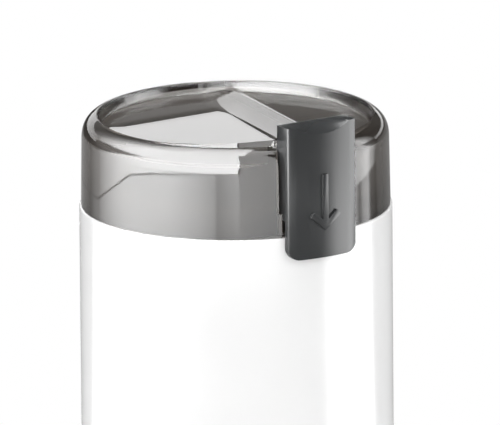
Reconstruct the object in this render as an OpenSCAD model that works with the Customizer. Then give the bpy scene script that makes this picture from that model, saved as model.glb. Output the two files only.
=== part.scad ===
// Electric spice grinder with a smoky lift-off lid and a push button at its front.
// Millimetres. +Z is up, the origin is on the axis at the feet, and the button faces -Y.

/* [Housing] */
// Outer radius of the white sleeve
body_r = 45; // [44:0.5:50]
// Height of the seam between sleeve and lid above the table
body_h = 126; // [124:1:134]
// Wall of the sleeve
body_wall = 2.4; // [2:0.1:2.6]
// Rounding of the sleeve's top edge
body_edge_r = 0.6; // [0.3:0.1:0.9]
// Gap between the sleeve's bottom edge and the table
body_lift = 2; // [1.5:0.5:3]

/* [Lid] */
// How far the lid's wall stands back from the sleeve at the seam
lid_step = 0.5; // [0.3:0.1:0.8]
// How much the lid's wall leans in up to the rounded rim
lid_draft = 0.3; // [0:0.1:0.6]
// Thickness of the lid's wall
lid_wall = 2.2; // [1.8:0.1:2.4]
// Height of the rounded rim's full crown above the seam
lid_h = 26.6; // [26:0.1:27.4]
// Radius of the rounded rim
rim_r = 7.5; // [6:0.5:9]
// Distance from the sleeve's face in to the sunken top
dish_inset = 5.5; // [5.5:0.1:6]
// How far the rim's inner wall leans in down to the low floor
dish_lean = 1.9; // [1:0.1:2.2]
// Depth of the sunken top's low floor below the rim's crown
dish_drop = 3.7; // [3.3:0.1:4.4]
// Rise of the ramp's high end over the rim's crown
ramp_over = 1.4; // [0.8:0.1:1.8]
// Distance from the axis at which the ramp starts, on the back half
ramp_start = 27; // [22:1:30]
// Distance from the axis at which the ramp levels out, on the front half
ramp_end = 32; // [28:1:34]
// Rise of the ridge's crest over the rim's crown, where it meets the button
crest_rise = 4.6; // [3.4:0.1:5]
// Depth of the ridge's crest below the rim's crown, at the back
crest_drop = 2.8; // [2.2:0.1:3.2]
// Sideways place of the crest at the button
crest_front_x = -3.2; // [-5:0.2:0]
// Sideways place of the crest at the back rim
crest_back_x = 21.5; // [18:0.5:24]
// Width of the ridge's sloping flank
flank_w = 9; // [7:0.5:11]
// Width of the level land along the crest
crest_land = 0.9; // [0.5:0.1:1.5]

/* [Button] */
// Width of the push button
button_w = 23; // [20:0.5:24]
// Rise of the button's top over the lid's rim
button_rise = 5.9; // [5.4:0.1:7]
// How far the button reaches down over the sleeve
button_drop = 6.4; // [5:0.2:8]
// How far the button's face stands proud of the sleeve
button_proud = 2; // [1.8:0.1:2.4]
// Travel of the button
button_travel = 4; // [3:0.5:4]
// Rounding of the button's lower corners
button_corner_r = 3.5; // [2.5:0.5:4.5]
// Rounding of the button's upright edges
button_edge_r = 1; // [0.6:0.1:1.3]
// Depth of the finger hollow at the button's face
finger_depth = 2.5; // [1.6:0.1:2.6]
// Width of the finger hollow at the button's face
finger_w = 20.4; // [14:0.2:20.6]
// Wall of the hollow button
button_wall = 1.8; // [1.4:0.1:2]

/* [Bowl] */
// Room between the bowl's inside and the sleeve's face, for collar, slider and wall
side_room = 11.4; // [11.2:0.1:12.4]
// Depth of the steel bowl
bowl_depth = 38; // [36:0.5:39]
// Radius between the bowl's wall and floor
bowl_corner_r = 8; // [6:0.5:10]
// Thickness of the bowl's sheet
bowl_sheet = 0.6; // [0.5:0.1:0.7]
// Width of the bowl's turned-out flange
bowl_flange = 1.9; // [1.5:0.1:2]
// Height of the collar above the seam
collar_h = 7; // [6:0.5:8]

/* [Blade] */
// Gap between the blade's tips and the bowl's wall
blade_gap = 6.6; // [4.6:0.2:9]
// Width of the blade at its middle
blade_w = 11; // [9:0.5:13]
// Thickness of the blade
blade_t = 1.6; // [1.2:0.1:2]
// Lift of the blade above the bowl's floor
blade_lift = 6; // [5:0.5:8]
// Twist of each wing
wing_twist = 14; // [8:1:18]
// Width of the ground bevel along each cutting edge
bevel_w = 2.4; // [1.5:0.1:3]

/* [Motor] */
// Radius of the motor shaft
shaft_r = 3; // [2.5:0.1:3.2]
// Room beside a pole shoe for its coil
coil_room = 5.6; // [5:0.1:7.5]
// Gap between rotor and stator
air_gap = 0.8; // [0.5:0.1:0.8]
// Number of slots in the rotor
slot_count = 12; // [10:1:12]
// Radius of the commutator
commutator_r = 8; // [7.5:0.1:8.5]
// Gap between the cooling fan and the motor's posts
fan_gap = 3.5; // [3:0.5:6]
// Number of fan blades
fan_blades = 12; // [8:1:14]
// Length of a carbon brush
brush_l = 11; // [9:0.5:12]

/* [Base] */
// Height of the rubber feet under the base plate
foot_h = 3.5; // [3.5:0.1:4]
// Radius of a rubber foot
foot_r = 5; // [4:0.5:5.5]
// Thickness of the base plate
base_t = 3; // [2.5:0.5:3.5]
// Number of air slots in each ring of the base plate
vent_count = 18; // [12:1:20]
// Radius of the cord's passage in the grommet
cord_hole_r = 3.4; // [3:0.1:3.6]
// Height of the cord's passage above the table
cord_z = 15; // [14:0.5:17]
// How far the grommet stands proud of the sleeve
grommet_proud = 2; // [1.5:0.1:2.5]

/* [Hidden] */
$fn = 96;

// Clearances
slide_gap = 0.3;      // between parts that slide or lift past each other
run_gap = 0.05;       // between a shaft or stem and its hole
seat_gap = 0.2;       // between fixed parts that are dropped into each other
eps = 0.01;           // overshoot of a cut

// Housing
body_in_r = body_r - body_wall;
seam_z = body_h;
ledge_w = 3;
ledge_t = 3;
ledge_drop = 17;                   // depth below the seam of the ledge that carries the bowl carrier
ledge_z = seam_z - ledge_drop;
ledge_chamfer = 1.2;
slot_room = 1;                     // free room beside the slider in the passages
web_t = 2;
post_screw_depth = 14;
grommet_in = 3;                    // reach of the grommet behind the sleeve's wall

// Lid
lid_r = body_r - lid_step;
lid_top_r = lid_r - lid_draft;
lid_in_r = lid_r - lid_draft - lid_wall;
rim_base = lid_h - rim_r;          // where the straight wall meets the rounded rim
chute_depth = 5.3;                 // how far the flat wall behind the button stands back
chute_y = body_r - chute_depth;
chute_w = button_w + 2 * slide_gap;
relief_reach = body_r;             // half length over which the top's surfaces are drawn
rim_centre = lid_top_r - rim_r;
dish_r = body_r - dish_inset;
dish_low = lid_h - dish_drop;
ramp_high = lid_h + ramp_over;
crest_high = lid_h + crest_rise;
crest_low = lid_h - crest_drop;
lip_z = rim_base + sqrt(pow(rim_r, 2) - pow(dish_r - rim_centre, 2));
crest_slope = (crest_back_x - crest_front_x) / (2 * dish_r);
ridge_steps = 12;
flank_steps = 5;
crest_fall = 0.6;                  // width of the ridge's steep side
ramp_lap = 0.15;                   // how far the ramp reaches over the rim's inner edge
drop_share = 0.7;                  // part of the wall's thickness left where the ramp drops to the rim
foot_sink = 0.05;                  // how far the flank's foot dips under the ramp
head_room = 5;
top_reach = crest_high + head_room; // height over which the top's surfaces are drawn

// Button
button_r = body_r + button_proud;
button_top = lid_h + button_rise;
button_back_y = chute_y + slide_gap;
skirt_in_r = body_r + slide_gap;
push_z = 5;                        // underside of the button's thick part above the seam
rib_out = 0.85;                    // reach of the side ribs that hold the button in the lid
rib_low = 7;                       // top of the lid's stops below the ribs, above the seam
rib_high = 25;                     // underside of the lid's stops over the ribs
rib_t = 1.3;
rib_back_y = button_back_y + 1;
rib_front_y = rib_back_y + rib_t;
push_rib_w = 5.2;
finger_land = 0.6;                 // level land between the finger hollow and the button's back

// Bowl and its carrier
bowl_r = body_r - side_room;
bowl_rim_z = seam_z + collar_h;
bowl_floor_z = bowl_rim_z - bowl_depth;
bowl_out_r = bowl_r + bowl_sheet;
cup_in_r = bowl_out_r + seat_gap;
cup_wall = 1.2;
cup_out_r = cup_in_r + cup_wall;
flange_r = bowl_r + bowl_flange;
flange_seat_r = flange_r + seat_gap;
collar_r = lid_in_r - slide_gap;
collar_wall = 1.8;
collar_web = 2.2;
collar_in_body_r = body_in_r - slide_gap;
flat_lip = 0.6;                    // wall left between the flange's seat and the collar's flat
collar_flat_y = flange_seat_r + flat_lip;
chute_in_y = collar_flat_y + slide_gap;
carrier_top_z = bowl_floor_z - bowl_sheet - seat_gap;
carrier_floor_t = 3;
carrier_low_z = carrier_top_z - carrier_floor_t;
shelf_t = 2;
skirt_gap = 1;                     // how far the carrier's wide skirt ends below the seam
guide_w = 8;
seal_r = 7;
seal_neck_r = 5.5;
seal_flange = 1.2;

// Rotor and motor, hung from the carrier
damper_h = 6;
damper_r = 4.5;
bracket_t = 4;
bracket_hub_r = 13;
arm_w = 9;
eye_r = 5;                         // end of a bracket's arm round its bolt
bracket_top_z = carrier_low_z - damper_h;
bolt_r = 2;
bolt_inset = 2.9;                  // from the cup's outside in to the bolts
bolt_ring_r = cup_out_r - bolt_inset;
bolt_angle = 38.8;
bolt_x = bolt_ring_r * cos(bolt_angle);
bolt_y = bolt_ring_r * sin(bolt_angle);
bolt_head_r = 3.6;
bolt_head_h = 2.4;
post_r = 4.2;
bearing_r = 7;
bearing_h = 8;
cup_ring = 2.5;
yoke_edge = 4;                     // from a bolt to the stator's sides
yoke_x = bolt_x + yoke_edge;
yoke_y = bolt_y + yoke_edge;
yoke_round = 6;
shoe_angle = 41;                   // half of the arc that a pole shoe covers
pole_w = 16;
window_inset = 1.5;                // from a bolt in to the window's end
window_x = bolt_x - window_inset;
window_y = bolt_y - 2 * window_inset;
shoe_t = 4;
bore_r = window_x - coil_room - shoe_t;
core_r = bore_r - air_gap;
coil_t = 5.5;
coil_gap = 0.4;
slot_mouth = 1.2;
slot_depth = 2;
slot_inset = 3.6;
slot_ring_r = core_r - slot_inset;
slot_r = slot_ring_r * 0.22;       // leaves a tooth between two slots
winding_r = core_r - 1.2;
winding_h = 6;
winding_round = 1.5;
winding_in_r = shaft_r + 1.2;
commutator_h = 11;
commutator_lift = 7;               // height of the commutator above the lower bracket
commutator_gap = 1;                // between commutator and winding
riser_r = commutator_r + 1;
riser_h = 1.6;
slit_w = 0.5;
slit_depth = 1.2;
fan_h = 6;
fan_lift = coil_gap + coil_t + 2.5; // height of the fan above the stator
fan_head = 1.6;                    // between the fan and the upper bracket
fan_r = bolt_ring_r - post_r - fan_gap;
fan_disc = 1.2;
fan_hub_r = shaft_r + 3;
vane_t = 1;
vane_r = fan_r * 0.7;              // bend of a vane
vane_x = fan_r * 0.68;
vane_y = fan_r * 0.525;
vane_start = fan_r * 0.45;
brush_w = 5;
brush_h = 6;
brush_gap = 0.1;
holder_wall = 0.9;
holder_l = 18;
holder_start = commutator_r + 2;
holder_half_w = brush_w / 2 + holder_wall;
saddle_inset = 4;
saddle_x = holder_start + saddle_inset;
saddle_l = 10;
brush_coil_r = 1.9;
brush_coil_turns = 5;
brush_wire = 0.5;

// Levels of the motor, whose stack fills the height that the other pieces leave
base_z = foot_h;
lower_damper_h = 3.7;
lower_bracket_z = base_z + base_t + lower_damper_h + bearing_h;
commutator_z = lower_bracket_z + commutator_lift;
brush_z = commutator_z + commutator_h / 2 - 0.5;
stator_low_z = commutator_z + commutator_h + commutator_gap + winding_h;
stator_top_z = bracket_top_z - bracket_t - fan_head - fan_h - fan_lift;
stack_h = stator_top_z - stator_low_z;
fan_z = stator_top_z + fan_lift;

// Shaft steps
spindle_r = shaft_r - 0.6;
seal_top_z = bowl_floor_z + seal_flange;
shoulder_z = seal_top_z + 0.5;
spacer_r = 4.5;
blade_z = bowl_floor_z + blade_lift;
blade_reach = bowl_r - blade_gap;
wing_root = 7;
tip_l = 6;
tip_rise = 35;
nut_h = 6;
nut_r = 4.9;
nut_flange_r = 5.4;
nut_flange = 1;
nut_dome_r = 14;
nut_crown = 1.6;                   // thickness of the nut over the spindle's end
spindle_top_z = blade_z + blade_t + nut_h - 2;
shaft_short = 0.5;                 // how far the shaft ends above the lower bearing's foot
shaft_low_z = lower_bracket_z - bearing_h + shaft_short;

// Switch train
spring_wire = 0.5;
spring_coil_r = 1.65;
spring_turns = 5;
spring_out_r = spring_coil_r + spring_wire / 2;
train_gap = 0.7;                   // between the cup and the return spring
stem_y = cup_out_r + train_gap + spring_out_r;
stem_r = 1.2;
tab_t = 1.4;
tab_w = 5;
tab_y = button_back_y + slide_gap + tab_t / 2;
slider_top_z = seam_z + push_z - slide_gap;
guide_lift = 7.8;                  // top of the guide tab above the carrier's underside
guide_z = carrier_low_z + guide_lift;
guide_t = 2.5;
spring_l = 11;
boss_z = guide_z + spring_l;       // underside of the boss that sits on the return spring
boss_h = 3;
stem_end = 3;                      // how far the stem reaches through the guide tab
stem_low_z = guide_z - guide_t - stem_end;
lever_reach = 13;                  // from the lever's pivot to the stem
lever_angle = atan(button_travel / lever_reach);
lever_t = 0.5;
lever_w = 2;
lever_pivot_z = stem_low_z - slide_gap - lever_t / cos(lever_angle) - lever_reach * tan(lever_angle);
lever_tail = 1;
pin_r = 0.5;                       // pivot pin of the lever
ear_t = 0.7;
ear_gap = 0.1;
pin_lift = 0.9;                    // height of the pin over the switch body
switch_top_z = lever_pivot_z - pin_lift;
switch_h = 10;
switch_l = 18;
switch_t = 5.6;
switch_reach = 4.2;                // from the stem back to the plate that carries the switch
switch_back_y = stem_y - switch_reach;
switch_x = -4;
ear_h = 2;
ear_w = 2;
plunger_x = 9;
plunger_r = 0.9;
plunger_in = 2;                    // how far the plunger stands in the switch at rest
well_depth = 4;
plate_t = 1.6;
screw_inset = 3;
screw_x1 = switch_x + screw_inset;
screw_x2 = switch_x + switch_l - screw_inset;
switch_screw_r = 1.1;
switch_head_r = 1.9;
switch_head_h = 0.8;

// Capacitor
cap_w = 18;
cap_t = 6.5;
cap_h = 14;

// Base
base_r = body_in_r - seat_gap;
post_inset = 5.6;
screw_ring_r = body_in_r - post_inset;
screw_count = 3;
post_base_r = 3.6;
post_base_h = 16;
base_screw_r = 1.5;
foot_inset = 12;
foot_ring_r = body_r - foot_inset;
foot_count = 4;
stud_r = 2;
lower_damper_r = 10;
lower_damper_in_r = 6.5;
grommet_r = cord_hole_r + 2.2;
grommet_flange = 1.4;
ring_h = 2;
ring_wall = 1.4;
vent_w = 1.8;
vent_bar = 1.2;                    // bar between the two rings of slots
vent_low_r = lower_damper_r + seat_gap + ring_wall + 2;
vent_high_r = foot_ring_r - stud_r - 2.6;
vent_l = (vent_high_r - vent_low_r - vent_bar) / 2 - vent_w;
vent_in_r = vent_low_r + (vent_l + vent_w) / 2;
vent_out_r = vent_high_r - (vent_l + vent_w) / 2;
base_head_r = 2.9;
base_head_h = 1.2;

function lerp(a, b, s) = a + (b - a) * s;

// ---------------------------------------------------------------- housing

module housing_profile() {
    difference() {
        union() {
            translate([body_in_r, body_lift]) square([body_wall, seam_z - body_lift - body_edge_r]);
            translate([body_in_r, seam_z - body_edge_r - eps])
                square([body_wall - body_edge_r, body_edge_r + eps]);
            translate([body_r - body_edge_r, seam_z - body_edge_r]) circle(body_edge_r, $fn = 32);
            translate([body_in_r - ledge_w, ledge_z - ledge_t]) square([ledge_w + eps, ledge_t]);
        }
        // a chamfer under the ledge, so that it comes out of the mould
        translate([body_in_r - ledge_w, ledge_z - ledge_t]) rotate(45)
            square(ledge_chamfer, center = true);
    }
}

module at_base_screws() {
    for (i = [0 : screw_count - 1]) rotate(360 / screw_count * i)
        translate([screw_ring_r, 0, 0]) children();
}

module housing() {
    color("white") difference() {
        union() {
            rotate_extrude($fn = 180) housing_profile();
            // posts for the base screws, webbed to the wall
            intersection() {
                cylinder(r = body_r - body_wall / 2, h = seam_z, $fn = 180);
                at_base_screws() union() {
                    translate([0, 0, base_z + base_t]) cylinder(r = post_base_r, h = post_base_h);
                    translate([0, -web_t / 2, base_z + base_t])
                        cube([body_r - screw_ring_r, web_t, post_base_h]);
                }
            }
        }
        at_base_screws() translate([0, 0, base_z]) cylinder(r = base_screw_r, h = base_t + post_screw_depth);
        // passage of the slider through the ledge
        translate([-tab_w / 2 - slot_room, -body_in_r - eps, ledge_z - ledge_t - 1])
            cube([tab_w + 2 * slot_room, 2 * ledge_w, ledge_t + 2]);
        // seat of the grommet
        translate([0, body_r + 1, cord_z]) rotate([90, 0, 0])
            cylinder(r = grommet_r, h = body_wall + grommet_in);
    }
}

// ---------------------------------------------------------------- lid

// Half section of wall and rounded rim, moved in by t.
module lid_profile(t) {
    polygon([[0, -eps], [lid_r - t, -eps], [lid_top_r - t, rim_base], [0, rim_base]]);
    translate([0, rim_base - eps]) square([rim_centre, rim_r - t + eps]);
    intersection() {
        translate([rim_centre, rim_base]) circle(rim_r - t, $fn = 128);
        translate([0, rim_base - eps]) square([lid_top_r, rim_r]);
    }
}

// The ramp runs level, bends up along an arc, rises straight and bends back to level.
ramp_run = ramp_start + ramp_end;
ramp_rise = ramp_high - dish_low;
ramp_slope = 1.7 * atan(ramp_rise / ramp_run);
ramp_arc_r = (ramp_run * tan(ramp_slope) - ramp_rise) / (2 / cos(ramp_slope) - 2);
ramp_bend = ramp_arc_r * sin(ramp_slope);
bend_rise = ramp_arc_r * (1 - cos(ramp_slope));

// Height of the ramp above the low floor at u, the distance towards the button.
function ramp_up(u) = let (v = u + ramp_start)
    v <= 0 ? 0 :
    v < ramp_bend ? ramp_arc_r - sqrt(pow(ramp_arc_r, 2) - pow(v, 2)) :
    v < ramp_run - ramp_bend ? bend_rise + (v - ramp_bend) * tan(ramp_slope) :
    v < ramp_run ? ramp_rise - ramp_arc_r + sqrt(pow(ramp_arc_r, 2) - pow(ramp_run - v, 2)) :
    ramp_rise;

module ramp_profile(t) {
    low = dish_low - t;
    high = ramp_high - t;
    bend_end = ramp_bend - ramp_start;
    bend_start = ramp_end - ramp_bend;
    translate([-relief_reach, 0]) square([relief_reach - ramp_start, low]);
    difference() {
        translate([-ramp_start, 0]) square([ramp_bend, low + bend_rise]);
        translate([-ramp_start, low + ramp_arc_r]) circle(ramp_arc_r, $fn = 720);
    }
    polygon([[bend_end, 0], [bend_end, low + bend_rise], [bend_start, high - bend_rise], [bend_start, 0]]);
    intersection() {
        translate([bend_start, 0]) square([ramp_bend, high]);
        translate([ramp_end, high - ramp_arc_r]) circle(ramp_arc_r, $fn = 720);
    }
    translate([ramp_end, 0]) square([relief_reach - ramp_end, high]);
}

// Sideways place and height of the crest at y.
function crest_x(y) = crest_front_x + (y + dish_r) * crest_slope;
function crest_z(y) = lerp(crest_high, crest_low, (y + dish_r) / (2 * dish_r));

// Height of the flank at y, where w runs from 0 at its foot to 1 at the crest.
function flank_z(y, w) =
    lerp(dish_low + ramp_up(-y) - foot_sink, crest_z(y), w * w * (2 - w));

// One cross-section of the ridge, moved in by t: up the flank, over the land and down.
function ridge_section(y, t) = concat(
    [[crest_x(y) - flank_w, y, rim_base]],
    [for (k = [0 : flank_steps]) let (w = k / flank_steps)
        [crest_x(y) - flank_w * (1 - w) - t, y, flank_z(y, w) - t]],
    [[crest_x(y) + crest_land - t, y, crest_z(y) - t],
     [crest_x(y) + crest_land + crest_fall - t, y, rim_base]]);

module ridge(t) {
    m = flank_steps + 4;
    n = ridge_steps;
    points = [for (i = [0 : n]) each ridge_section(lerp(-relief_reach, relief_reach, i / n), t)];
    sides = [for (i = [0 : n - 1], k = [0 : m - 1]) let (k2 = (k + 1) % m)
        each [[i * m + k, i * m + k2, (i + 1) * m + k2], [i * m + k, (i + 1) * m + k2, (i + 1) * m + k]]];
    ends = [[for (k = [m - 1 : -1 : 0]) k], [for (k = [0 : m - 1]) n * m + k]];
    polyhedron(points, concat(sides, ends));
}

// The round space inside the rim, moved out by t, from under the low floor to over the rim.
module dish_space(t) {
    slope = dish_lean / (lip_z - dish_low);
    low = dish_low - t - lid_wall;
    high = lid_h + 1;
    translate([0, 0, low]) cylinder(r1 = dish_r + t - slope * (lip_z - t - low),
                                    r2 = dish_r + t + slope * (high - lip_z + t), h = high - low, $fn = 180);
}

// Everything under the sunken top's surface, moved in by t.
module relief(t) {
    intersection() {
        cylinder(r = dish_r + ramp_lap + t, h = top_reach, $fn = 180);
        // the hollow keeps inside the rim's wall where the ramp drops to it
        union() {
            cylinder(r = dish_r + ramp_lap + eps - drop_share * t, h = top_reach, $fn = 180);
            rotate_extrude($fn = 180) lid_profile(t);
        }
        union() {
            cylinder(r = dish_r + ramp_lap + t + 1, h = dish_low - t, $fn = 180);
            // ramp, to the left of the crest
            intersection() {
                rotate([90, 0, -90]) translate([0, 0, -relief_reach])
                    linear_extrude(2 * relief_reach) ramp_profile(t);
                linear_extrude(top_reach) polygon([
                    [-relief_reach, -relief_reach], [crest_x(-relief_reach) - 1 - t, -relief_reach],
                    [crest_x(relief_reach) - 1 - t, relief_reach], [-relief_reach, relief_reach]]);
            }
            ridge(t);
        }
    }
}

// The lid's outer form (t = 0) or its hollow (t = wall).
module lid_form(t) {
    difference() {
        rotate_extrude($fn = 180) lid_profile(t);
        dish_space(t);
    }
    relief(t);
}

module lid_shell() {
    color([0.45, 0.42, 0.40, 0.5]) translate([0, 0, seam_z]) difference() {
        lid_form(0);
        // hollow, up to the flat wall behind the button
        intersection() {
            translate([0, 0, -eps]) lid_form(lid_wall);
            translate([-relief_reach, -chute_in_y, -1]) cube([2 * relief_reach, 2 * relief_reach, top_reach]);
        }
        translate([-relief_reach, -relief_reach, -1]) cube([2 * relief_reach, 2 * relief_reach, 1]);
        // chute of the button
        translate([-chute_w / 2, -relief_reach, -1]) cube([chute_w, relief_reach - chute_y, top_reach]);
        // wider stretch in which the button's side ribs travel
        translate([-chute_w / 2 - rib_out, -relief_reach, rib_low])
            cube([chute_w + 2 * rib_out, relief_reach - rib_back_y + slide_gap, rib_high - rib_low]);
    }
}

// ---------------------------------------------------------------- button

// Plan of the button: curved face with rounded upright edges.
module button_plan() {
    half = button_w / 2;
    edge_x = half - button_edge_r;
    edge_y = sqrt(pow(button_r - button_edge_r, 2) - pow(edge_x, 2));
    intersection() {
        circle(button_r, $fn = 360);
        union() {
            translate([-edge_x, -button_r - 1]) square([2 * edge_x, button_r + 1 - button_back_y]);
            translate([-half, -edge_y]) square([button_w, edge_y - button_back_y]);
            for (s = [-1, 1]) translate([s * edge_x, -edge_y]) circle(button_edge_r, $fn = 48);
        }
    }
}

// Front outline of the button with rounded lower corners.
module button_outline() {
    half = button_w / 2;
    low = -button_drop;
    r = button_corner_r;
    translate([-half, low + r]) square([button_w, button_top - low - r]);
    translate([-half + r, low]) square([button_w - 2 * r, r + eps]);
    for (s = [-1, 1]) translate([s * (half - r), low + r]) circle(r, $fn = 64);
}

module push_button() {
    finger_r = (pow(finger_w / 2, 2) + pow(finger_depth, 2)) / (2 * finger_depth);
    finger_tilt = atan(finger_depth / (button_r - button_back_y - finger_land));
    rib_h = rib_high - rib_low - button_travel - 2 * slide_gap;
    pocket_back_y = button_back_y + button_wall;
    pocket_front_y = sqrt(pow(button_r, 2) - pow(button_w / 2, 2)) - button_wall;
    color("dimgray") translate([0, 0, seam_z]) {
        difference() {
            intersection() {
                translate([0, 0, -button_drop]) linear_extrude(button_top + button_drop) button_plan();
                rotate([90, 0, 0]) translate([0, 0, button_back_y - 1])
                    linear_extrude(button_r) button_outline();
            }
            // room for the sleeve behind the skirt
            translate([0, 0, -button_drop - 1])
                cylinder(r = skirt_in_r, h = button_drop + 1 + push_z, $fn = 180);
            // finger hollow, a slanted round groove that runs out towards the back
            translate([0, -button_r, button_top - finger_depth]) rotate([finger_tilt - 90, 0, 0])
                translate([0, -finger_r, -finger_r]) cylinder(r = finger_r, h = 3 * finger_r, $fn = 180);
            // hollow on both sides of the pushing rib
            for (side = [0, 1]) mirror([side, 0, 0])
                translate([push_rib_w / 2, -pocket_front_y, push_z - 1])
                    cube([button_w / 2 - button_wall - push_rib_w / 2, pocket_front_y - pocket_back_y,
                          button_top - push_z - finger_depth - button_wall]);
        }
        // side ribs
        for (side = [0, 1]) mirror([side, 0, 0])
            translate([button_w / 2 - eps, -rib_front_y, rib_low + button_travel + slide_gap])
                cube([rib_out + eps, rib_front_y - rib_back_y, rib_h]);
    }
}

// ---------------------------------------------------------------- bowl and carrier

module carrier_profile() {
    // cup wall and floor
    translate([cup_in_r, carrier_low_z]) square([cup_wall, bowl_rim_z - carrier_low_z]);
    translate([seal_r + seat_gap, carrier_low_z])
        square([cup_in_r - seal_r - seat_gap + eps, carrier_floor_t]);
    // web and outer skirt, wider below the seam
    translate([cup_in_r, bowl_rim_z - collar_web]) square([collar_r - cup_in_r, collar_web]);
    translate([collar_r - collar_wall, ledge_z]) square([collar_wall, bowl_rim_z - ledge_z]);
    translate([collar_r - collar_wall, ledge_z])
        square([collar_in_body_r - collar_r + collar_wall, seam_z - ledge_z - skirt_gap]);
}

module at_bolts() {
    for (x = [-bolt_x, bolt_x], y = [-bolt_y, bolt_y]) translate([x, y, 0]) children();
}

module bowl_carrier() {
    color("silver") difference() {
        union() {
            difference() {
                rotate_extrude($fn = 180) carrier_profile();
                // flat in front of the bowl, where the button's chute comes down
                translate([-body_r, -body_r, seam_z])
                    cube([2 * body_r, body_r - collar_flat_y, collar_h + 1]);
                // passage of the slider
                translate([-tab_w / 2 - slot_room, -body_r, ledge_z - 1])
                    cube([tab_w + 2 * slot_room, body_r - cup_out_r - slide_gap, seam_z - ledge_z]);
            }
            // wall that closes the flat
            intersection() {
                translate([0, 0, seam_z - shelf_t]) cylinder(r = collar_r, h = collar_h + shelf_t);
                translate([-body_r, -collar_flat_y, seam_z - shelf_t])
                    cube([2 * body_r, collar_wall, collar_h + shelf_t]);
            }
            // shelf in front of the flat
            intersection() {
                translate([0, 0, seam_z - shelf_t - skirt_gap]) cylinder(r = collar_in_body_r, h = shelf_t);
                translate([-body_r, -body_r, seam_z - shelf_t - skirt_gap])
                    cube([2 * body_r, body_r - cup_out_r + cup_wall / 2, shelf_t]);
            }
            // guide tab of the slider's stem
            intersection() {
                cylinder(r = collar_in_body_r - skirt_gap, h = seam_z);
                translate([-guide_w / 2, -body_r, guide_z - guide_t])
                    cube([guide_w, body_r - cup_in_r, guide_t]);
            }
            // plate that carries the switch
            translate([switch_x, -switch_back_y, switch_top_z - switch_h])
                cube([switch_l, plate_t, carrier_low_z - switch_top_z + switch_h + eps]);
        }
        // room for the bowl
        translate([0, 0, carrier_top_z]) cylinder(r = cup_in_r, h = bowl_rim_z, $fn = 180);
        translate([0, 0, bowl_rim_z - bowl_sheet])
            cylinder(r = flange_seat_r, h = 2, $fn = 180);
        // slot of the slider's tab
        translate([-tab_w / 2 - seat_gap, -tab_y - tab_t / 2 - seat_gap, seam_z - shelf_t - 2])
            cube([tab_w + 2 * seat_gap, tab_t + 2 * seat_gap, shelf_t + 4]);
        // the stem's hole
        translate([0, -stem_y, guide_z - guide_t - 1]) cylinder(r = stem_r + run_gap, h = guide_t + 2);
        // screw holes of the motor's rubber mounts and of the switch
        at_bolts() translate([0, 0, carrier_low_z - 1])
            cylinder(r = bolt_r + run_gap, h = carrier_floor_t + 2);
        for (x = [screw_x1, screw_x2])
            translate([x, -switch_back_y - 1, switch_top_z - switch_h / 2]) rotate([-90, 0, 0])
                cylinder(r = switch_screw_r, h = plate_t + 2, $fn = 32);
    }
}

// Half section of the bowl's inside, widened by t.
module bowl_inside(t) {
    square([bowl_r - bowl_corner_r, bowl_depth + t]);
    translate([0, bowl_corner_r]) square([bowl_r + t, bowl_depth]);
    intersection() {
        translate([bowl_r - bowl_corner_r, bowl_corner_r]) circle(bowl_corner_r + t, $fn = 96);
        translate([0, -t]) square([bowl_r + t, bowl_depth]);
    }
}

module grinding_bowl() {
    color("lightgray") translate([0, 0, bowl_floor_z]) difference() {
        rotate_extrude($fn = 180) difference() {
            union() {
                intersection() {
                    union() {
                        bowl_inside(bowl_sheet);
                        translate([0, -bowl_sheet]) square([bowl_r - bowl_corner_r, bowl_sheet + eps]);
                    }
                    translate([0, -bowl_sheet]) square([bowl_out_r, bowl_depth + bowl_sheet]);
                }
                translate([0, bowl_depth - bowl_sheet]) square([flange_r, bowl_sheet]);
            }
            bowl_inside(0);
        }
        translate([0, 0, -1]) cylinder(r = seal_neck_r, h = 3);
    }
}

module bowl_seal() {
    color("darkslategray") difference() {
        union() {
            translate([0, 0, bowl_floor_z]) cylinder(r = seal_r, h = seal_flange);
            translate([0, 0, bowl_floor_z - bowl_sheet - eps])
                cylinder(r = seal_neck_r - run_gap, h = bowl_sheet + 2 * eps);
            translate([0, 0, carrier_low_z])
                cylinder(r = seal_r, h = bowl_floor_z - bowl_sheet - carrier_low_z);
        }
        translate([0, 0, carrier_low_z - 1])
            cylinder(r = shaft_r + run_gap, h = seal_top_z - carrier_low_z + 2);
    }
}

// ---------------------------------------------------------------- blade

module wing() {
    wing_w = blade_w - 1;
    tip_w = wing_w - 0.8;
    lap = 0.6;                     // overlap of the wing's three lengths
    // flat root, twisted middle and turned-up tip
    translate([-wing_root / 2, -blade_w / 2, 0]) cube([1.5 * wing_root, blade_w, blade_t]);
    middle_l = blade_reach - tip_l - wing_root + 2 * lap;
    bevel_angle = atan(blade_t / 2 / bevel_w);
    translate([wing_root - lap, 0, blade_t / 2]) rotate([wing_twist, 0, 0]) difference() {
        translate([0, -wing_w / 2, -blade_t / 2]) cube([middle_l, wing_w, blade_t]);
        // ground bevel along the leading edge, from the root's end to the tip
        translate([2 * lap, -wing_w / 2, 0]) rotate([bevel_angle, 0, 0])
            translate([0, -blade_t, 0]) cube([middle_l, bevel_w + 2 * blade_t, blade_t]);
    }
    translate([blade_reach - tip_l - lap / 3, 0, blade_t / 2]) rotate([wing_twist, 0, 0])
        rotate([0, -tip_rise, 0]) translate([0, -tip_w / 2, -blade_t / 2]) cube([tip_l, tip_w, blade_t]);
}

module blade() {
    color("silver") translate([0, 0, blade_z]) difference() {
        intersection() {
            for (a = [0, 180]) rotate(a) wing();
            translate([0, 0, -blade_w]) cylinder(r = blade_reach, h = 2 * blade_w);
        }
        translate([0, 0, -1]) cylinder(r = spindle_r + run_gap, h = blade_t + 2);
    }
}

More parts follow.
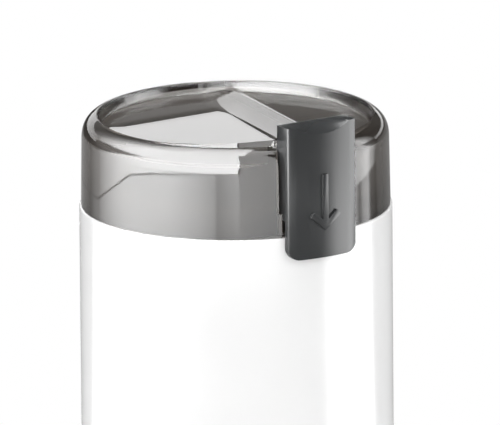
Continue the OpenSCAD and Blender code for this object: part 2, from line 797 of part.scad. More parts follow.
module blade_spacer() {
    color("gainsboro") difference() {
        translate([0, 0, shoulder_z]) cylinder(r = spacer_r, h = blade_z - shoulder_z);
        translate([0, 0, shoulder_z - 1]) cylinder(r = spindle_r + run_gap, h = blade_lift + 2);
    }
}

module blade_nut() {
    color("dimgray") translate([0, 0, blade_z + blade_t]) difference() {
        union() {
            cylinder(r = nut_flange_r, h = nut_flange);
            intersection() {
                cylinder(r = nut_r, h = nut_h, $fn = 6);
                translate([0, 0, nut_h - nut_dome_r]) sphere(nut_dome_r, $fn = 96);
            }
        }
        translate([0, 0, -1]) cylinder(r = spindle_r + run_gap, h = nut_h - nut_crown + 1);
    }
}

// ---------------------------------------------------------------- rotor

module motor_shaft() {
    color("lightsteelblue") {
        translate([0, 0, shaft_low_z]) cylinder(r = shaft_r, h = shoulder_z - shaft_low_z);
        translate([0, 0, shoulder_z - eps]) cylinder(r = spindle_r, h = spindle_top_z - shoulder_z + eps);
    }
}

module slot_row(r, w, depth) {
    for (i = [0 : slot_count - 1]) rotate(360 / slot_count * i)
        translate([r - depth, -w / 2]) square([depth + 1, w]);
}

module armature_core() {
    color("gray") translate([0, 0, stator_low_z]) linear_extrude(stack_h) difference() {
        circle(core_r);
        slot_row(core_r, slot_mouth, slot_depth);
        for (i = [0 : slot_count - 1]) rotate(360 / slot_count * i)
            translate([slot_ring_r, 0]) circle(slot_r, $fn = 32);
        circle(shaft_r + run_gap);
    }
}

module armature_winding() {
    w = (winding_r - winding_in_r) / 2;
    color("chocolate") {
        // wire bundles above and below the stack
        for (z = [stator_low_z - winding_h / 2, stator_top_z + winding_h / 2]) translate([0, 0, z])
            rotate_extrude() translate([winding_in_r + w, 0]) round_rect(w, winding_h / 2, winding_round);
        // coil sides in the slots
        for (i = [0 : slot_count - 1]) rotate(360 / slot_count * i)
            translate([slot_ring_r, 0, stator_low_z - winding_h / 2])
                cylinder(r = slot_r - seat_gap, h = stack_h + winding_h, $fn = 32);
    }
}

module commutator() {
    color("peru") translate([0, 0, commutator_z]) difference() {
        union() {
            cylinder(r = commutator_r, h = commutator_h);
            translate([0, 0, commutator_h - riser_h]) cylinder(r = riser_r, h = riser_h);
        }
        translate([0, 0, -1]) linear_extrude(commutator_h + 2)
            for (i = [0 : slot_count - 1]) rotate(360 / slot_count * i)
                translate([commutator_r - slit_depth, -slit_w / 2]) square([slit_depth + 2, slit_w]);
        translate([0, 0, -1]) cylinder(r = shaft_r + run_gap, h = commutator_h + 2);
    }
}

module cooling_fan() {
    color("seagreen") translate([0, 0, fan_z]) difference() {
        union() {
            cylinder(r = fan_r, h = fan_disc);
            cylinder(r = fan_hub_r, h = fan_h);
            // curved vanes
            intersection() {
                translate([0, 0, fan_disc / 2]) linear_extrude(fan_h - fan_disc / 2)
                    for (i = [0 : fan_blades - 1]) rotate(360 / fan_blades * i)
                        translate([vane_x, -vane_y]) difference() {
                            circle(vane_r);
                            circle(vane_r - vane_t);
                            translate([-2 * vane_r, -2 * vane_r]) square([4 * vane_r, 2 * vane_r]);
                            translate([0, -2 * vane_r]) square([2 * vane_r, 4 * vane_r]);
                        }
                difference() {
                    cylinder(r = fan_r, h = fan_h);
                    translate([0, 0, -1]) cylinder(r = vane_start, h = fan_h + 2);
                }
            }
        }
        translate([0, 0, -1]) cylinder(r = shaft_r + run_gap, h = fan_h + 2);
    }
}

// ---------------------------------------------------------------- stator and brackets

module round_rect(x, y, r) {
    translate([-x + r, -y]) square([2 * (x - r), 2 * y]);
    translate([-x, -y + r]) square([2 * x, 2 * (y - r)]);
    for (sx = [-1, 1], sy = [-1, 1]) translate([sx * (x - r), sy * (y - r)]) circle(r, $fn = 48);
}

module stator_section() {
    shoe_y = yoke_x * tan(shoe_angle);
    difference() {
        round_rect(yoke_x, yoke_y, yoke_round);
        difference() {
            round_rect(window_x, window_y, 2);
            // pole necks and shoes
            for (s = [-1, 1]) translate([s > 0 ? bore_r + 1 : -window_x - 1, -pole_w / 2])
                square([window_x - bore_r, pole_w]);
            intersection() {
                circle(bore_r + shoe_t);
                union() {
                    for (s = [-1, 1])
                        polygon([[0, 0], [s * yoke_x, -shoe_y], [s * yoke_x, shoe_y]]);
                }
            }
        }
        circle(bore_r);
        at_bolts() circle(bolt_r + run_gap, $fn = 48);
    }
}

module stator_core() {
    color("slategray") translate([0, 0, stator_low_z]) linear_extrude(stack_h, convexity = 6)
        stator_section();
}

module field_coils() {
    neck = pole_w / 2 + coil_gap;
    half_h = stack_h / 2 + coil_gap;
    inner = bore_r + shoe_t + coil_gap;
    color("sienna") for (s = [-1, 1])
        translate([s > 0 ? inner : -window_x + coil_gap, 0, stator_low_z + stack_h / 2])
            rotate([90, 0, 90]) linear_extrude(window_x - coil_gap - inner) difference() {
                round_rect(neck + coil_t, half_h + coil_t, 3);
                square([2 * neck, 2 * half_h], center = true);
            }
}

// Plate with four arms that reach the bolts.
module bracket_plate(z) {
    translate([0, 0, z]) linear_extrude(bracket_t) {
        circle(bracket_hub_r);
        for (a = [-1, 1]) rotate(a * atan2(bolt_y, bolt_x))
            square([2 * norm([bolt_x, bolt_y]), arm_w], center = true);
        at_bolts() circle(eye_r, $fn = 48);
    }
}

module upper_bracket() {
    low = bracket_top_z - bracket_t;
    color("lightgray") difference() {
        union() {
            bracket_plate(low);
            at_bolts() translate([0, 0, stator_top_z]) cylinder(r = post_r, h = low - stator_top_z + eps);
            translate([0, 0, bracket_top_z - eps])
                cylinder(r = bearing_r + cup_ring, h = bearing_h - bracket_t);
        }
        translate([0, 0, low - 1]) cylinder(r = bearing_r, h = bearing_h + 2);
        at_bolts() translate([0, 0, stator_top_z - 1])
            cylinder(r = bolt_r + run_gap, h = bracket_top_z - stator_top_z + 2);
    }
}

module lower_bracket() {
    low = lower_bracket_z - bracket_t;
    color("lightgray") difference() {
        union() {
            bracket_plate(low);
            at_bolts() translate([0, 0, lower_bracket_z - eps])
                cylinder(r = post_r, h = stator_low_z - lower_bracket_z + eps);
            translate([0, 0, low - (bearing_h - bracket_t)])
                cylinder(r = bearing_r + cup_ring, h = bearing_h - bracket_t + eps);
            // cross bar with a saddle under each brush holder
            translate([-saddle_x - saddle_l, -holder_half_w, low])
                cube([2 * (saddle_x + saddle_l), 2 * holder_half_w, bracket_t]);
            for (side = [0, 1]) mirror([side, 0, 0])
                translate([saddle_x, -holder_half_w, low])
                    cube([saddle_l, 2 * holder_half_w, brush_z - brush_h / 2 - holder_wall - low]);
        }
        translate([0, 0, low - bearing_h]) cylinder(r = bearing_r, h = 2 * bearing_h);
        at_bolts() translate([0, 0, low - 1])
            cylinder(r = bolt_r + run_gap, h = stator_low_z - low + 2);
    }
}

module bush(z) {
    translate([0, 0, z]) difference() {
        cylinder(r = bearing_r, h = bearing_h);
        translate([0, 0, -1]) cylinder(r = shaft_r + run_gap, h = bearing_h + 2);
    }
}

module upper_bearing() { color("darkgoldenrod") bush(bracket_top_z - bracket_t); }

module lower_bearing() { color("darkgoldenrod") bush(lower_bracket_z - bearing_h); }

module brush_holders() {
    color("goldenrod") for (s = [-1, 1]) rotate(s > 0 ? 0 : 180)
        translate([holder_start, 0, brush_z]) difference() {
            translate([0, -brush_w / 2 - holder_wall, -brush_h / 2 - holder_wall])
                cube([holder_l, brush_w + 2 * holder_wall, brush_h + 2 * holder_wall]);
            translate([-1, -brush_w / 2 - run_gap, -brush_h / 2 - run_gap])
                cube([holder_l, brush_w + 2 * run_gap, brush_h + 2 * run_gap]);
        }
}

module carbon_brushes() {
    color("black") for (s = [-1, 1]) rotate(s > 0 ? 0 : 180) difference() {
        translate([0, -brush_w / 2, brush_z - brush_h / 2])
            cube([commutator_r + brush_l, brush_w, brush_h]);
        translate([0, 0, commutator_z - 1])
            cylinder(r = commutator_r + brush_gap, h = commutator_h + 2);
    }
}

// Round wire wound on a helix about Z, with flat ends at the helix's ends.
module coil_spring(coil_r, wire_r, height, turns) {
    steps = 14;
    sides = 6;
    n = turns * steps;
    rise = height - 2 * wire_r;
    points = [for (i = [0 : n]) let (a = 360 * i / steps, z = wire_r + rise * i / n)
        for (k = [0 : sides - 1]) let (b = 360 * k / sides)
            [(coil_r + wire_r * cos(b)) * cos(a), (coil_r + wire_r * cos(b)) * sin(a), z + wire_r * sin(b)]];
    skin = [for (i = [0 : n - 1], k = [0 : sides - 1]) let (k2 = (k + 1) % sides)
        each [[i * sides + k, (i + 1) * sides + k, (i + 1) * sides + k2],
              [i * sides + k, (i + 1) * sides + k2, i * sides + k2]]];
    caps = [[for (k = [0 : sides - 1]) k], [for (k = [sides - 1 : -1 : 0]) n * sides + k]];
    polyhedron(points, concat(skin, caps));
}

module brush_springs() {
    start = commutator_r + brush_l;
    length = holder_start + holder_l - 1 - start;
    color("silver") for (s = [-1, 1]) rotate(s > 0 ? 0 : 180)
        translate([start, 0, brush_z]) rotate([0, 90, 0])
            coil_spring(brush_coil_r, brush_wire / 2, length, brush_coil_turns);
}

module motor_bolts() {
    low = lower_bracket_z - bracket_t;
    color("silver") at_bolts() {
        translate([0, 0, low - bolt_head_h]) cylinder(r = bolt_head_r, h = bolt_head_h);
        translate([0, 0, low - eps]) cylinder(r = bolt_r, h = carrier_top_z - 1 - low);
    }
}

module motor_dampers() {
    color("black") at_bolts() translate([0, 0, bracket_top_z]) difference() {
        cylinder(r = damper_r, h = damper_h);
        translate([0, 0, -1]) cylinder(r = bolt_r + run_gap, h = damper_h + 2);
    }
}

module lower_damper() {
    top = lower_bracket_z - bearing_h;
    color("black") translate([0, 0, base_z + base_t]) difference() {
        cylinder(r = lower_damper_r, h = top - base_z - base_t);
        translate([0, 0, -1]) cylinder(r = lower_damper_in_r, h = top);
    }
}

// ---------------------------------------------------------------- switch train

module switch_slider() {
    color("ivory") {
        // flat tab under the button
        translate([-tab_w / 2, -tab_y - tab_t / 2, boss_z])
            cube([tab_w, tab_t, slider_top_z - boss_z]);
        // boss over the spring
        translate([-tab_w / 2, -tab_y - tab_t / 2, boss_z])
            cube([tab_w, tab_y + tab_t / 2 - stem_y + spring_out_r, boss_h]);
        // stem
        translate([0, -stem_y, stem_low_z]) cylinder(r = stem_r, h = boss_z - stem_low_z + eps);
    }
}

module return_spring() {
    color("silver") translate([0, -stem_y, guide_z])
        coil_spring(spring_coil_r, spring_wire / 2, boss_z - guide_z, spring_turns);
}

module switch_body() {
    color("black") difference() {
        union() {
            translate([switch_x, -switch_back_y - switch_t, switch_top_z - switch_h])
                cube([switch_l, switch_t, switch_h]);
            // ears on both sides of the lever's end
            for (side = [0, 1]) translate([lever_reach - ear_w / 2, -stem_y, switch_top_z - eps])
                mirror([0, side, 0]) translate([0, lever_w / 2 + ear_gap, 0]) cube([ear_w, ear_t, ear_h]);
        }
        // holes of the lever's pin
        translate([lever_reach, -stem_y, lever_pivot_z]) rotate([90, 0, 0])
            cylinder(r = pin_r + run_gap, h = lever_w + 2 * ear_t + 1, center = true, $fn = 32);
        // well of the plunger
        translate([plunger_x, -stem_y, switch_top_z - well_depth])
            cylinder(r = plunger_r + run_gap, h = well_depth + 1, $fn = 32);
        for (x = [screw_x1, screw_x2])
            translate([x, -switch_back_y + 1, switch_top_z - switch_h / 2]) rotate([90, 0, 0])
                cylinder(r = switch_screw_r, h = switch_t + 2, $fn = 32);
    }
}

module switch_lever() {
    length = (lever_reach + lever_tail) / cos(lever_angle);
    color("silver") translate([lever_reach, -stem_y, lever_pivot_z]) {
        rotate([0, lever_angle, 0]) translate([-length, -lever_w / 2, 0]) cube([length, lever_w, lever_t]);
        rotate([90, 0, 0])
            cylinder(r = pin_r, h = lever_w + 2 * (ear_gap + ear_t), center = true, $fn = 32);
    }
}

module switch_plunger() {
    low = switch_top_z - plunger_in;
    top = lever_pivot_z + (lever_reach - plunger_x) * tan(lever_angle) - slide_gap;
    color("firebrick") translate([plunger_x, -stem_y, low]) cylinder(r = plunger_r, h = top - low, $fn = 32);
}

module switch_screws() {
    color("silver") for (x = [screw_x1, screw_x2])
        translate([x, -switch_back_y + plate_t, switch_top_z - switch_h / 2]) rotate([90, 0, 0]) {
            cylinder(r = switch_screw_r - run_gap, h = switch_t + plate_t, $fn = 32);
            translate([0, 0, switch_t + plate_t]) cylinder(r = switch_head_r, h = switch_head_h, $fn = 32);
        }
}

module capacitor() {
    color("gold") translate([-cap_w / 2, yoke_y, stator_low_z + (stack_h - cap_h) / 2])
        cube([cap_w, cap_t, cap_h]);
}

// ---------------------------------------------------------------- base

module base_plate() {
    color("white") translate([0, 0, base_z]) difference() {
        union() {
            cylinder(r = base_r, h = base_t, $fn = 180);
            // ring that centres the lower damper
            translate([0, 0, base_t - eps]) difference() {
                cylinder(r = lower_damper_r + seat_gap + ring_wall, h = ring_h + eps);
                translate([0, 0, -1]) cylinder(r = lower_damper_r + seat_gap, h = ring_h + 2);
            }
        }
        // two rings of air slots
        for (ring = [vent_in_r, vent_out_r], i = [0 : vent_count - 1])
            rotate(360 / vent_count * (i + 0.5)) translate([ring, 0, -1]) {
                translate([-vent_l / 2, -vent_w / 2, 0]) cube([vent_l, vent_w, base_t + 2]);
                for (x = [-vent_l / 2, vent_l / 2]) translate([x, 0, 0])
                    cylinder(r = vent_w / 2, h = base_t + 2, $fn = 24);
            }
        at_base_screws() {
            translate([0, 0, -1]) cylinder(r = base_screw_r + run_gap, h = base_t + 2);
            translate([0, 0, -1]) cylinder(r = base_head_r + slide_gap, h = base_head_h + 1);
        }
        for (i = [0 : foot_count - 1]) rotate(360 / foot_count * (i + 0.5))
            translate([foot_ring_r, 0, -1]) cylinder(r = stud_r, h = base_t + 2);
    }
}

module base_screws() {
    color("silver") at_base_screws() {
        translate([0, 0, base_z]) cylinder(r = base_head_r, h = base_head_h);
        translate([0, 0, base_z + base_head_h - eps])
            cylinder(r = base_screw_r - run_gap, h = base_t + post_screw_depth - base_head_h - 2);
    }
}

module rubber_feet() {
    color("dimgray") for (i = [0 : foot_count - 1]) rotate(360 / foot_count * (i + 0.5))
        translate([foot_ring_r, 0, 0]) {
            cylinder(r1 = foot_r - 0.5, r2 = foot_r, h = foot_h);
            translate([0, 0, foot_h - eps]) cylinder(r = stud_r - run_gap, h = base_t + eps);
        }
}

module cord_grommet() {
    length = grommet_proud + body_wall + grommet_in;
    color("dimgray") translate([0, body_r + grommet_proud, cord_z]) rotate([90, 0, 0]) difference() {
        union() {
            cylinder(r = grommet_r + grommet_flange, h = grommet_proud - slide_gap);
            cylinder(r = grommet_r - run_gap, h = length);
        }
        translate([0, 0, -1]) cylinder(r = cord_hole_r, h = length + 2);
    }
}

housing();
lid_shell();
push_button();
bowl_carrier();
grinding_bowl();
bowl_seal();
blade();
blade_spacer();
blade_nut();
motor_shaft();
armature_core();
armature_winding();
commutator();
cooling_fan();
stator_core();
field_coils();
upper_bracket();
lower_bracket();
upper_bearing();
lower_bearing();
brush_holders();
carbon_brushes();
brush_springs();
motor_bolts();
motor_dampers();
lower_damper();
switch_slider();
return_spring();
switch_body();
switch_lever();
switch_plunger();
switch_screws();
capacitor();
base_plate();
base_screws();
rubber_feet();
cord_grommet();
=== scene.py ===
"""Electric spice grinder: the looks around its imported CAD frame.

Lengths in the shape code are millimetres in the frame's axes (Z up, button at -Y, table at z = 0).
They turn into metres when a mesh is made.
"""

import math

import bmesh
import bpy
from mathutils import Matrix, Vector
from mathutils.geometry import delaunay_2d_cdt


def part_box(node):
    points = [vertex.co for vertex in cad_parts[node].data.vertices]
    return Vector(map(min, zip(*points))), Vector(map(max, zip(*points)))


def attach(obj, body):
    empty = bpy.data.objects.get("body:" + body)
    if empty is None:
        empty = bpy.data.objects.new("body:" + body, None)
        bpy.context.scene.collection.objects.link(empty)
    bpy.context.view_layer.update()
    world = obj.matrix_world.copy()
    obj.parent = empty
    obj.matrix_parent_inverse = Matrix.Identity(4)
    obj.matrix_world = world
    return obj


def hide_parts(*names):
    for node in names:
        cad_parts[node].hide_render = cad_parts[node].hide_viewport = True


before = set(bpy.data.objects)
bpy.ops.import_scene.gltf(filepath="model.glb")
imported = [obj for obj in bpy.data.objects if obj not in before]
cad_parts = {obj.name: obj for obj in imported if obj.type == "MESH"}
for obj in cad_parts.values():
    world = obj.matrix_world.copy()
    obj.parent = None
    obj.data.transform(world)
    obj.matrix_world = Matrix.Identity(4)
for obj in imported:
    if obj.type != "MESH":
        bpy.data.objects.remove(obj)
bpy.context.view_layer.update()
MM = 0.001


def box_mm(node):
    low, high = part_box(node)
    return low / MM, high / MM


# ---------------------------------------------------------------- sizes from the frame

LID_LOW, LID_HIGH = box_mm("lid_shell")
BUTTON_LOW, BUTTON_HIGH = box_mm("push_button")
SLEEVE_HIGH = box_mm("housing")[1]
SEAM_Z = LID_LOW.z
LID_R = LID_HIGH.x
BODY_R = SLEEVE_HIGH.x
BUTTON_R = -BUTTON_LOW.y

# ---------------------------------------------------------------- camera

PIXELS_PER_MM = 3.48          # in a picture 500 pixels wide
PICTURE_W, PICTURE_H = 500, 425
AXIS_PX = (235.9, 202.0)      # where the axis meets the seam's plane, in the picture
CAMERA_AZIMUTH = -32.7        # degrees, 0 looks along +Y
CAMERA_ELEVATION = 14.2
CAMERA_ROLL = -0.45
CAMERA_DISTANCE = 5500.0
SENSOR_W = 36.0


def make_camera():
    a, e = math.radians(CAMERA_AZIMUTH), math.radians(CAMERA_ELEVATION)
    back = Vector((math.sin(a) * math.cos(e), -math.cos(a) * math.cos(e), math.sin(e)))
    right = Vector((math.cos(a), math.sin(a), 0))
    up = back.cross(right)
    aim = Vector((0, 0, SEAM_Z))
    aim += right * (PICTURE_W / 2 - AXIS_PX[0]) / PIXELS_PER_MM
    aim += up * (AXIS_PX[1] - PICTURE_H / 2) / PIXELS_PER_MM
    cam = bpy.data.objects.new("camera", bpy.data.cameras.new("camera"))
    bpy.context.scene.collection.objects.link(cam)
    cam.data.sensor_width = SENSOR_W
    cam.data.lens = PIXELS_PER_MM * CAMERA_DISTANCE * SENSOR_W / PICTURE_W
    cam.data.clip_start = 0.1
    cam.data.clip_end = 100
    cam.location = (aim + back * CAMERA_DISTANCE) * MM
    roll = Matrix.Rotation(math.radians(CAMERA_ROLL), 4, back)
    cam.rotation_mode = "QUATERNION"
    cam.rotation_quaternion = (roll @ back.to_track_quat("Z", "Y").to_matrix().to_4x4()).to_quaternion()
    bpy.context.scene.camera = cam
    return back, right


BACK, RIGHT = make_camera()
bpy.context.scene.view_settings.view_transform = "Standard"

# ---------------------------------------------------------------- materials


class Nodes:
    """A small helper that adds shader nodes to one material and links them."""

    def __init__(self, name):
        self.material = bpy.data.materials.new(name)
        self.material.use_nodes = True
        self.tree = self.material.node_tree
        self.shader = self.tree.nodes["Principled BSDF"]
        self.output = self.tree.nodes["Material Output"]
        self.place = self.add("ShaderNodeTexCoord").outputs["Object"]

    def add(self, kind, inputs=None, **settings):
        node = self.tree.nodes.new(kind)
        for key, value in settings.items():
            setattr(node, key, value)
        for key, value in (inputs or {}).items():
            self.put(node.inputs[key], value)
        return node

    def put(self, socket, value):
        if isinstance(value, bpy.types.NodeSocket):
            self.tree.links.new(value, socket)
        else:
            socket.default_value = value

    def noise(self, scale, detail=3.0, rough=0.5, vector=None):
        inputs = {"Scale": scale, "Detail": detail, "Roughness": rough, "Vector": vector or self.place}
        return self.add("ShaderNodeTexNoise", inputs).outputs["Fac"]

    def stretch(self, x, y, z):
        node = self.add("ShaderNodeMapping", {"Vector": self.place})
        node.inputs["Scale"].default_value = (x, y, z)
        return node.outputs["Vector"]

    def range(self, value, low, high, at=(0.3, 0.7)):
        inputs = {"Value": value, "From Min": at[0], "From Max": at[1], "To Min": low, "To Max": high}
        return self.add("ShaderNodeMapRange", inputs).outputs["Result"]

    def mix(self, fac, a, b):
        node = self.add("ShaderNodeMix", data_type="RGBA")
        self.put(node.inputs["Factor"], fac)
        self.put(node.inputs["A"], a)
        self.put(node.inputs["B"], b)
        return node.outputs["Result"]

    def bump(self, height, strength, distance, below=None):
        node = self.add("ShaderNodeBump", {"Height": height, "Strength": strength, "Distance": distance})
        if below:
            self.put(node.inputs["Normal"], below)
        return node.outputs["Normal"]

    def set(self, **inputs):
        for key, value in inputs.items():
            self.put(self.shader.inputs[key.replace("_", " ")], value)
        return self


def rgb(r, g, b):
    """A linear colour."""
    return (r, g, b, 1.0)


def shade(color, factor):
    return tuple(min(c * factor, 1) for c in color[:3]) + (1.0,)


def plastic(name, color, rough, grain=900.0, relief=0.08, specular=0.5, change=0.04):
    """Moulded plastic: a fine grain, slight flow marks and a roughness that varies a little."""
    n = Nodes(name)
    flow = n.noise(45.0, 4.0)
    fine = n.noise(grain * 3, 2.0)
    n.set(Base_Color=n.mix(n.range(flow, 0, 1), shade(color, 1 - change), shade(color, 1 + change)),
          Roughness=n.range(flow, rough * 0.85, rough * 1.15),
          Normal=n.bump(fine, relief, 0.00004, n.bump(flow, relief, 0.0002)))
    n.shader.inputs["Specular IOR Level"].default_value = specular
    return n.material


def turned_metal(name, color, rough, rings=(3000, 3000, 60), relief=0.15, tone=0.10):
    """Turned, drawn or ground metal: fine lines along one direction with small scratches across."""
    n = Nodes(name)
    lines = n.noise(1.0, 5.0, 0.6, n.stretch(*rings))
    cloud = n.noise(60.0, 3.0)
    n.set(Base_Color=n.mix(n.range(lines, 0, 1), shade(color, 1 - tone), shade(color, 1 + tone)),
          Metallic=1.0,
          Roughness=n.range(cloud, rough * 0.8, rough * 1.25),
          Normal=n.bump(lines, relief, 0.00003))
    return n.material


def rubber(name, color):
    """Soft rubber: dull, with a faint bloom and a fine pitted surface."""
    n = Nodes(name)
    bloom = n.noise(120.0, 4.0)
    pits = n.noise(4000.0, 2.0)
    n.set(Base_Color=n.mix(n.range(bloom, 0, 1), shade(color, 0.85), shade(color, 1.25)),
          Roughness=n.range(bloom, 0.62, 0.78),
          Normal=n.bump(pits, 0.25, 0.00005))
    return n.material


def wound_wire(name, color):
    """Enamelled wire: parallel turns round the coil, glossy, with painted shade darkening the grooves between
    them.
    """
    n = Nodes(name)
    turns = n.add("ShaderNodeTexWave", {"Vector": n.place, "Scale": 260.0, "Distortion": 0.6,
                                        "Detail": 1.0}, bands_direction="Z")
    cloud = n.noise(200.0, 3.0)
    # painted shade: the base colour falls to a third of the wire's colour in the grooves between turns
    n.set(Base_Color=n.mix(n.range(turns.outputs["Fac"], 0, 1, (0, 1)), shade(color, 0.35), color),
          Metallic=0.6,
          Roughness=n.range(cloud, 0.25, 0.4),
          Normal=n.bump(turns.outputs["Fac"], 0.6, 0.0004))
    return n.material


def stacked_sheet(name, color):
    """Punched electrical sheet: thin layers one on another, with a few rusty specks."""
    n = Nodes(name)
    layers = n.add("ShaderNodeTexWave", {"Vector": n.place, "Scale": 320.0}, bands_direction="Z")
    specks = n.noise(900.0, 4.0)
    base = n.mix(n.range(layers.outputs["Fac"], 0, 1, (0, 1)), shade(color, 0.7), shade(color, 1.15))
    n.set(Base_Color=n.mix(n.range(specks, 0, 0.5, (0.62, 0.75)), base, rgb(0.2, 0.09, 0.04)),
          Metallic=0.8,
          Roughness=n.range(specks, 0.35, 0.6),
          Normal=n.bump(layers.outputs["Fac"], 0.5, 0.0001))
    return n.material


def smoky_plastic(name, absorb, density, shadow):
    """Clear smoky plastic that darkens with the way through it; its inner side is a little satin."""
    n = Nodes(name)
    flow = n.noise(28.0, 2.0)
    inner = n.add("ShaderNodeAttribute", attribute_name="inner").outputs["Fac"]
    n.set(Base_Color=rgb(1, 1, 1), IOR=1.49, Normal=n.bump(flow, 0.05, 0.0004),
          Roughness=n.range(inner, LID_POLISH, LID_SATIN, (0, 1)))
    n.shader.inputs["Transmission Weight"].default_value = 1.0
    volume = n.add("ShaderNodeVolumeAbsorption", {"Color": absorb, "Density": density})
    n.put(n.output.inputs["Volume"], volume.outputs[0])
    clear = n.add("ShaderNodeBsdfTransparent", {"Color": shadow})
    is_shadow = n.add("ShaderNodeLightPath").outputs["Is Shadow Ray"]
    mixed = n.add("ShaderNodeMixShader", {0: is_shadow, 1: n.shader.outputs[0], 2: clear.outputs[0]})
    n.put(n.output.inputs["Surface"], mixed.outputs[0])
    return n.material


LID_POLISH, LID_SATIN = 0.02, 0.42    # roughness of the lid's outer and inner side
M_SLEEVE = plastic("white_plastic", rgb(0.84, 0.84, 0.84), 0.14, relief=0.02, change=0.004)
M_LID = smoky_plastic("smoky_plastic", rgb(0.18, 0.09, 0.0), 130.0, rgb(0.55, 0.54, 0.53))
M_BUTTON = plastic("button_plastic", rgb(0.032, 0.0335, 0.0345), 0.22, grain=1500, relief=0.04, specular=0.3)
M_GREY = plastic("grey_plastic", rgb(0.15, 0.147, 0.145), 0.32)
M_BLACK = plastic("black_plastic", rgb(0.03, 0.03, 0.033), 0.35)
M_WHITE = plastic("white_inner_plastic", rgb(0.72, 0.71, 0.67), 0.35)
M_BASE = plastic("base_plastic", rgb(0.82, 0.82, 0.81), 0.38, relief=0.15)
M_FAN = plastic("fan_plastic", rgb(0.09, 0.15, 0.12), 0.35)
M_RED = plastic("red_plastic", rgb(0.35, 0.03, 0.03), 0.3)
M_YELLOW = plastic("capacitor_film", rgb(0.70, 0.48, 0.08), 0.28, change=0.08)
M_CARBON = plastic("pressed_carbon", rgb(0.02, 0.02, 0.02), 0.55, relief=0.4)
M_BOWL = turned_metal("bowl_steel", rgb(0.62, 0.61, 0.60), 0.16)
M_BLADE = turned_metal("blade_steel", rgb(0.60, 0.60, 0.59), 0.22, rings=(300, 4000, 300))
M_BRIGHT = turned_metal("plated_steel", rgb(0.58, 0.58, 0.59), 0.25, rings=(900, 900, 2500))
M_ALLOY = turned_metal("cast_alloy", rgb(0.50, 0.50, 0.51), 0.42, rings=(900, 900, 900), relief=0.3)
M_BRONZE = turned_metal("sintered_bronze", rgb(0.40, 0.27, 0.13), 0.45, rings=(2500, 2500, 2500))
M_BRASS = turned_metal("brass_sheet", rgb(0.62, 0.47, 0.20), 0.3, rings=(2500, 400, 400))
M_COPPER = turned_metal("copper_bar", rgb(0.62, 0.30, 0.18), 0.28)
M_WIRE = wound_wire("copper_wire", rgb(0.50, 0.20, 0.09))
M_SHEET = stacked_sheet("stacked_sheet", rgb(0.22, 0.23, 0.24))
M_RUBBER = rubber("dark_rubber", rgb(0.045, 0.045, 0.048))

NODE_MATERIALS = {
    "housing": M_SLEEVE, "lid_shell": M_LID, "push_button": M_BUTTON, "bowl_carrier": M_GREY,
    "grinding_bowl": M_BOWL, "bowl_seal": M_RUBBER, "blade": M_BLADE, "blade_spacer": M_BRIGHT,
    "blade_nut": M_BLACK, "motor_shaft": M_BRIGHT, "armature_core": M_SHEET,
    "armature_winding": M_WIRE, "commutator": M_COPPER, "cooling_fan": M_FAN,
    "stator_core": M_SHEET, "field_coils": M_WIRE, "upper_bracket": M_ALLOY,
    "lower_bracket": M_ALLOY, "upper_bearing": M_BRONZE, "lower_bearing": M_BRONZE,
    "brush_holders": M_BRASS, "carbon_brushes": M_CARBON, "brush_springs": M_BRIGHT,
    "motor_bolts": M_BRIGHT, "motor_dampers": M_RUBBER, "lower_damper": M_RUBBER,
    "switch_slider": M_WHITE, "return_spring": M_BRIGHT, "switch_body": M_BLACK,
    "switch_lever": M_BRIGHT, "switch_plunger": M_RED, "switch_screws": M_BRIGHT,
    "capacitor": M_YELLOW, "base_plate": M_BASE, "base_screws": M_BRIGHT,
    "rubber_feet": M_RUBBER, "cord_grommet": M_RUBBER,
}

for name, material in NODE_MATERIALS.items():
    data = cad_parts[name].data
    data.materials.clear()
    data.materials.append(material)

# ---------------------------------------------------------------- mesh helpers


def link_mesh(name, mesh, material, smooth_angle=35.0):
    """Adds a mesh given in millimetres as an object in metres."""
    mesh.transform(Matrix.Scale(MM, 4))
    mesh.materials.clear()
    mesh.materials.append(material)
    mesh.shade_smooth()
    mesh.set_sharp_from_angle(angle=math.radians(smooth_angle))
    piece = bpy.data.objects.new(name, mesh)
    bpy.context.scene.collection.objects.link(piece)
    return piece


def mesh_from(name, points, faces):
    mesh = bpy.data.meshes.new(name)
    mesh.from_pydata(points, [], faces)
    mesh.validate()
    return mesh


def closed_mesh(name, points, faces):
    """A closed mesh with its faces turned outwards."""
    mesh = mesh_from(name, points, faces)
    bm = bmesh.new()
    bm.from_mesh(mesh)
    bmesh.ops.remove_doubles(bm, verts=bm.verts, dist=1e-4)
    bmesh.ops.recalc_face_normals(bm, faces=bm.faces)
    bm.to_mesh(mesh)
    bm.free()
    return mesh


def block(low, high):
    """A box mesh between two corners."""
    bm = bmesh.new()
    bmesh.ops.create_cube(bm, size=1)
    size = [h - l for l, h in zip(low, high)]
    centre = [(h + l) / 2 for l, h in zip(low, high)]
    bmesh.ops.scale(bm, vec=size, verts=bm.verts)
    bmesh.ops.translate(bm, vec=centre, verts=bm.verts)
    mesh = bpy.data.meshes.new("block")
    bm.to_mesh(mesh)
    bm.free()
    return mesh


def extrude(outline, low, high, axis="Z"):
    """A prism of a closed outline of (u, v) points, between two heights along an axis."""
    def place(u, v, w):
        return (u, v, w) if axis == "Z" else (u, w, v)
    n = len(outline)
    points = [place(u, v, w) for w in (low, high) for u, v in outline]
    faces = [tuple(range(n - 1, -1, -1)), tuple(range(n, 2 * n))]
    faces += [(i, (i + 1) % n, n + (i + 1) % n, n + i) for i in range(n)]
    return closed_mesh("prism", points, faces)


def circle(r, n, turn=0.0):
    """Points (x, y) evenly round a circle, turned by a share of one step."""
    return [(r * math.cos(2 * math.pi * (i + turn) / n), r * math.sin(2 * math.pi * (i + turn) / n))
            for i in range(n)]


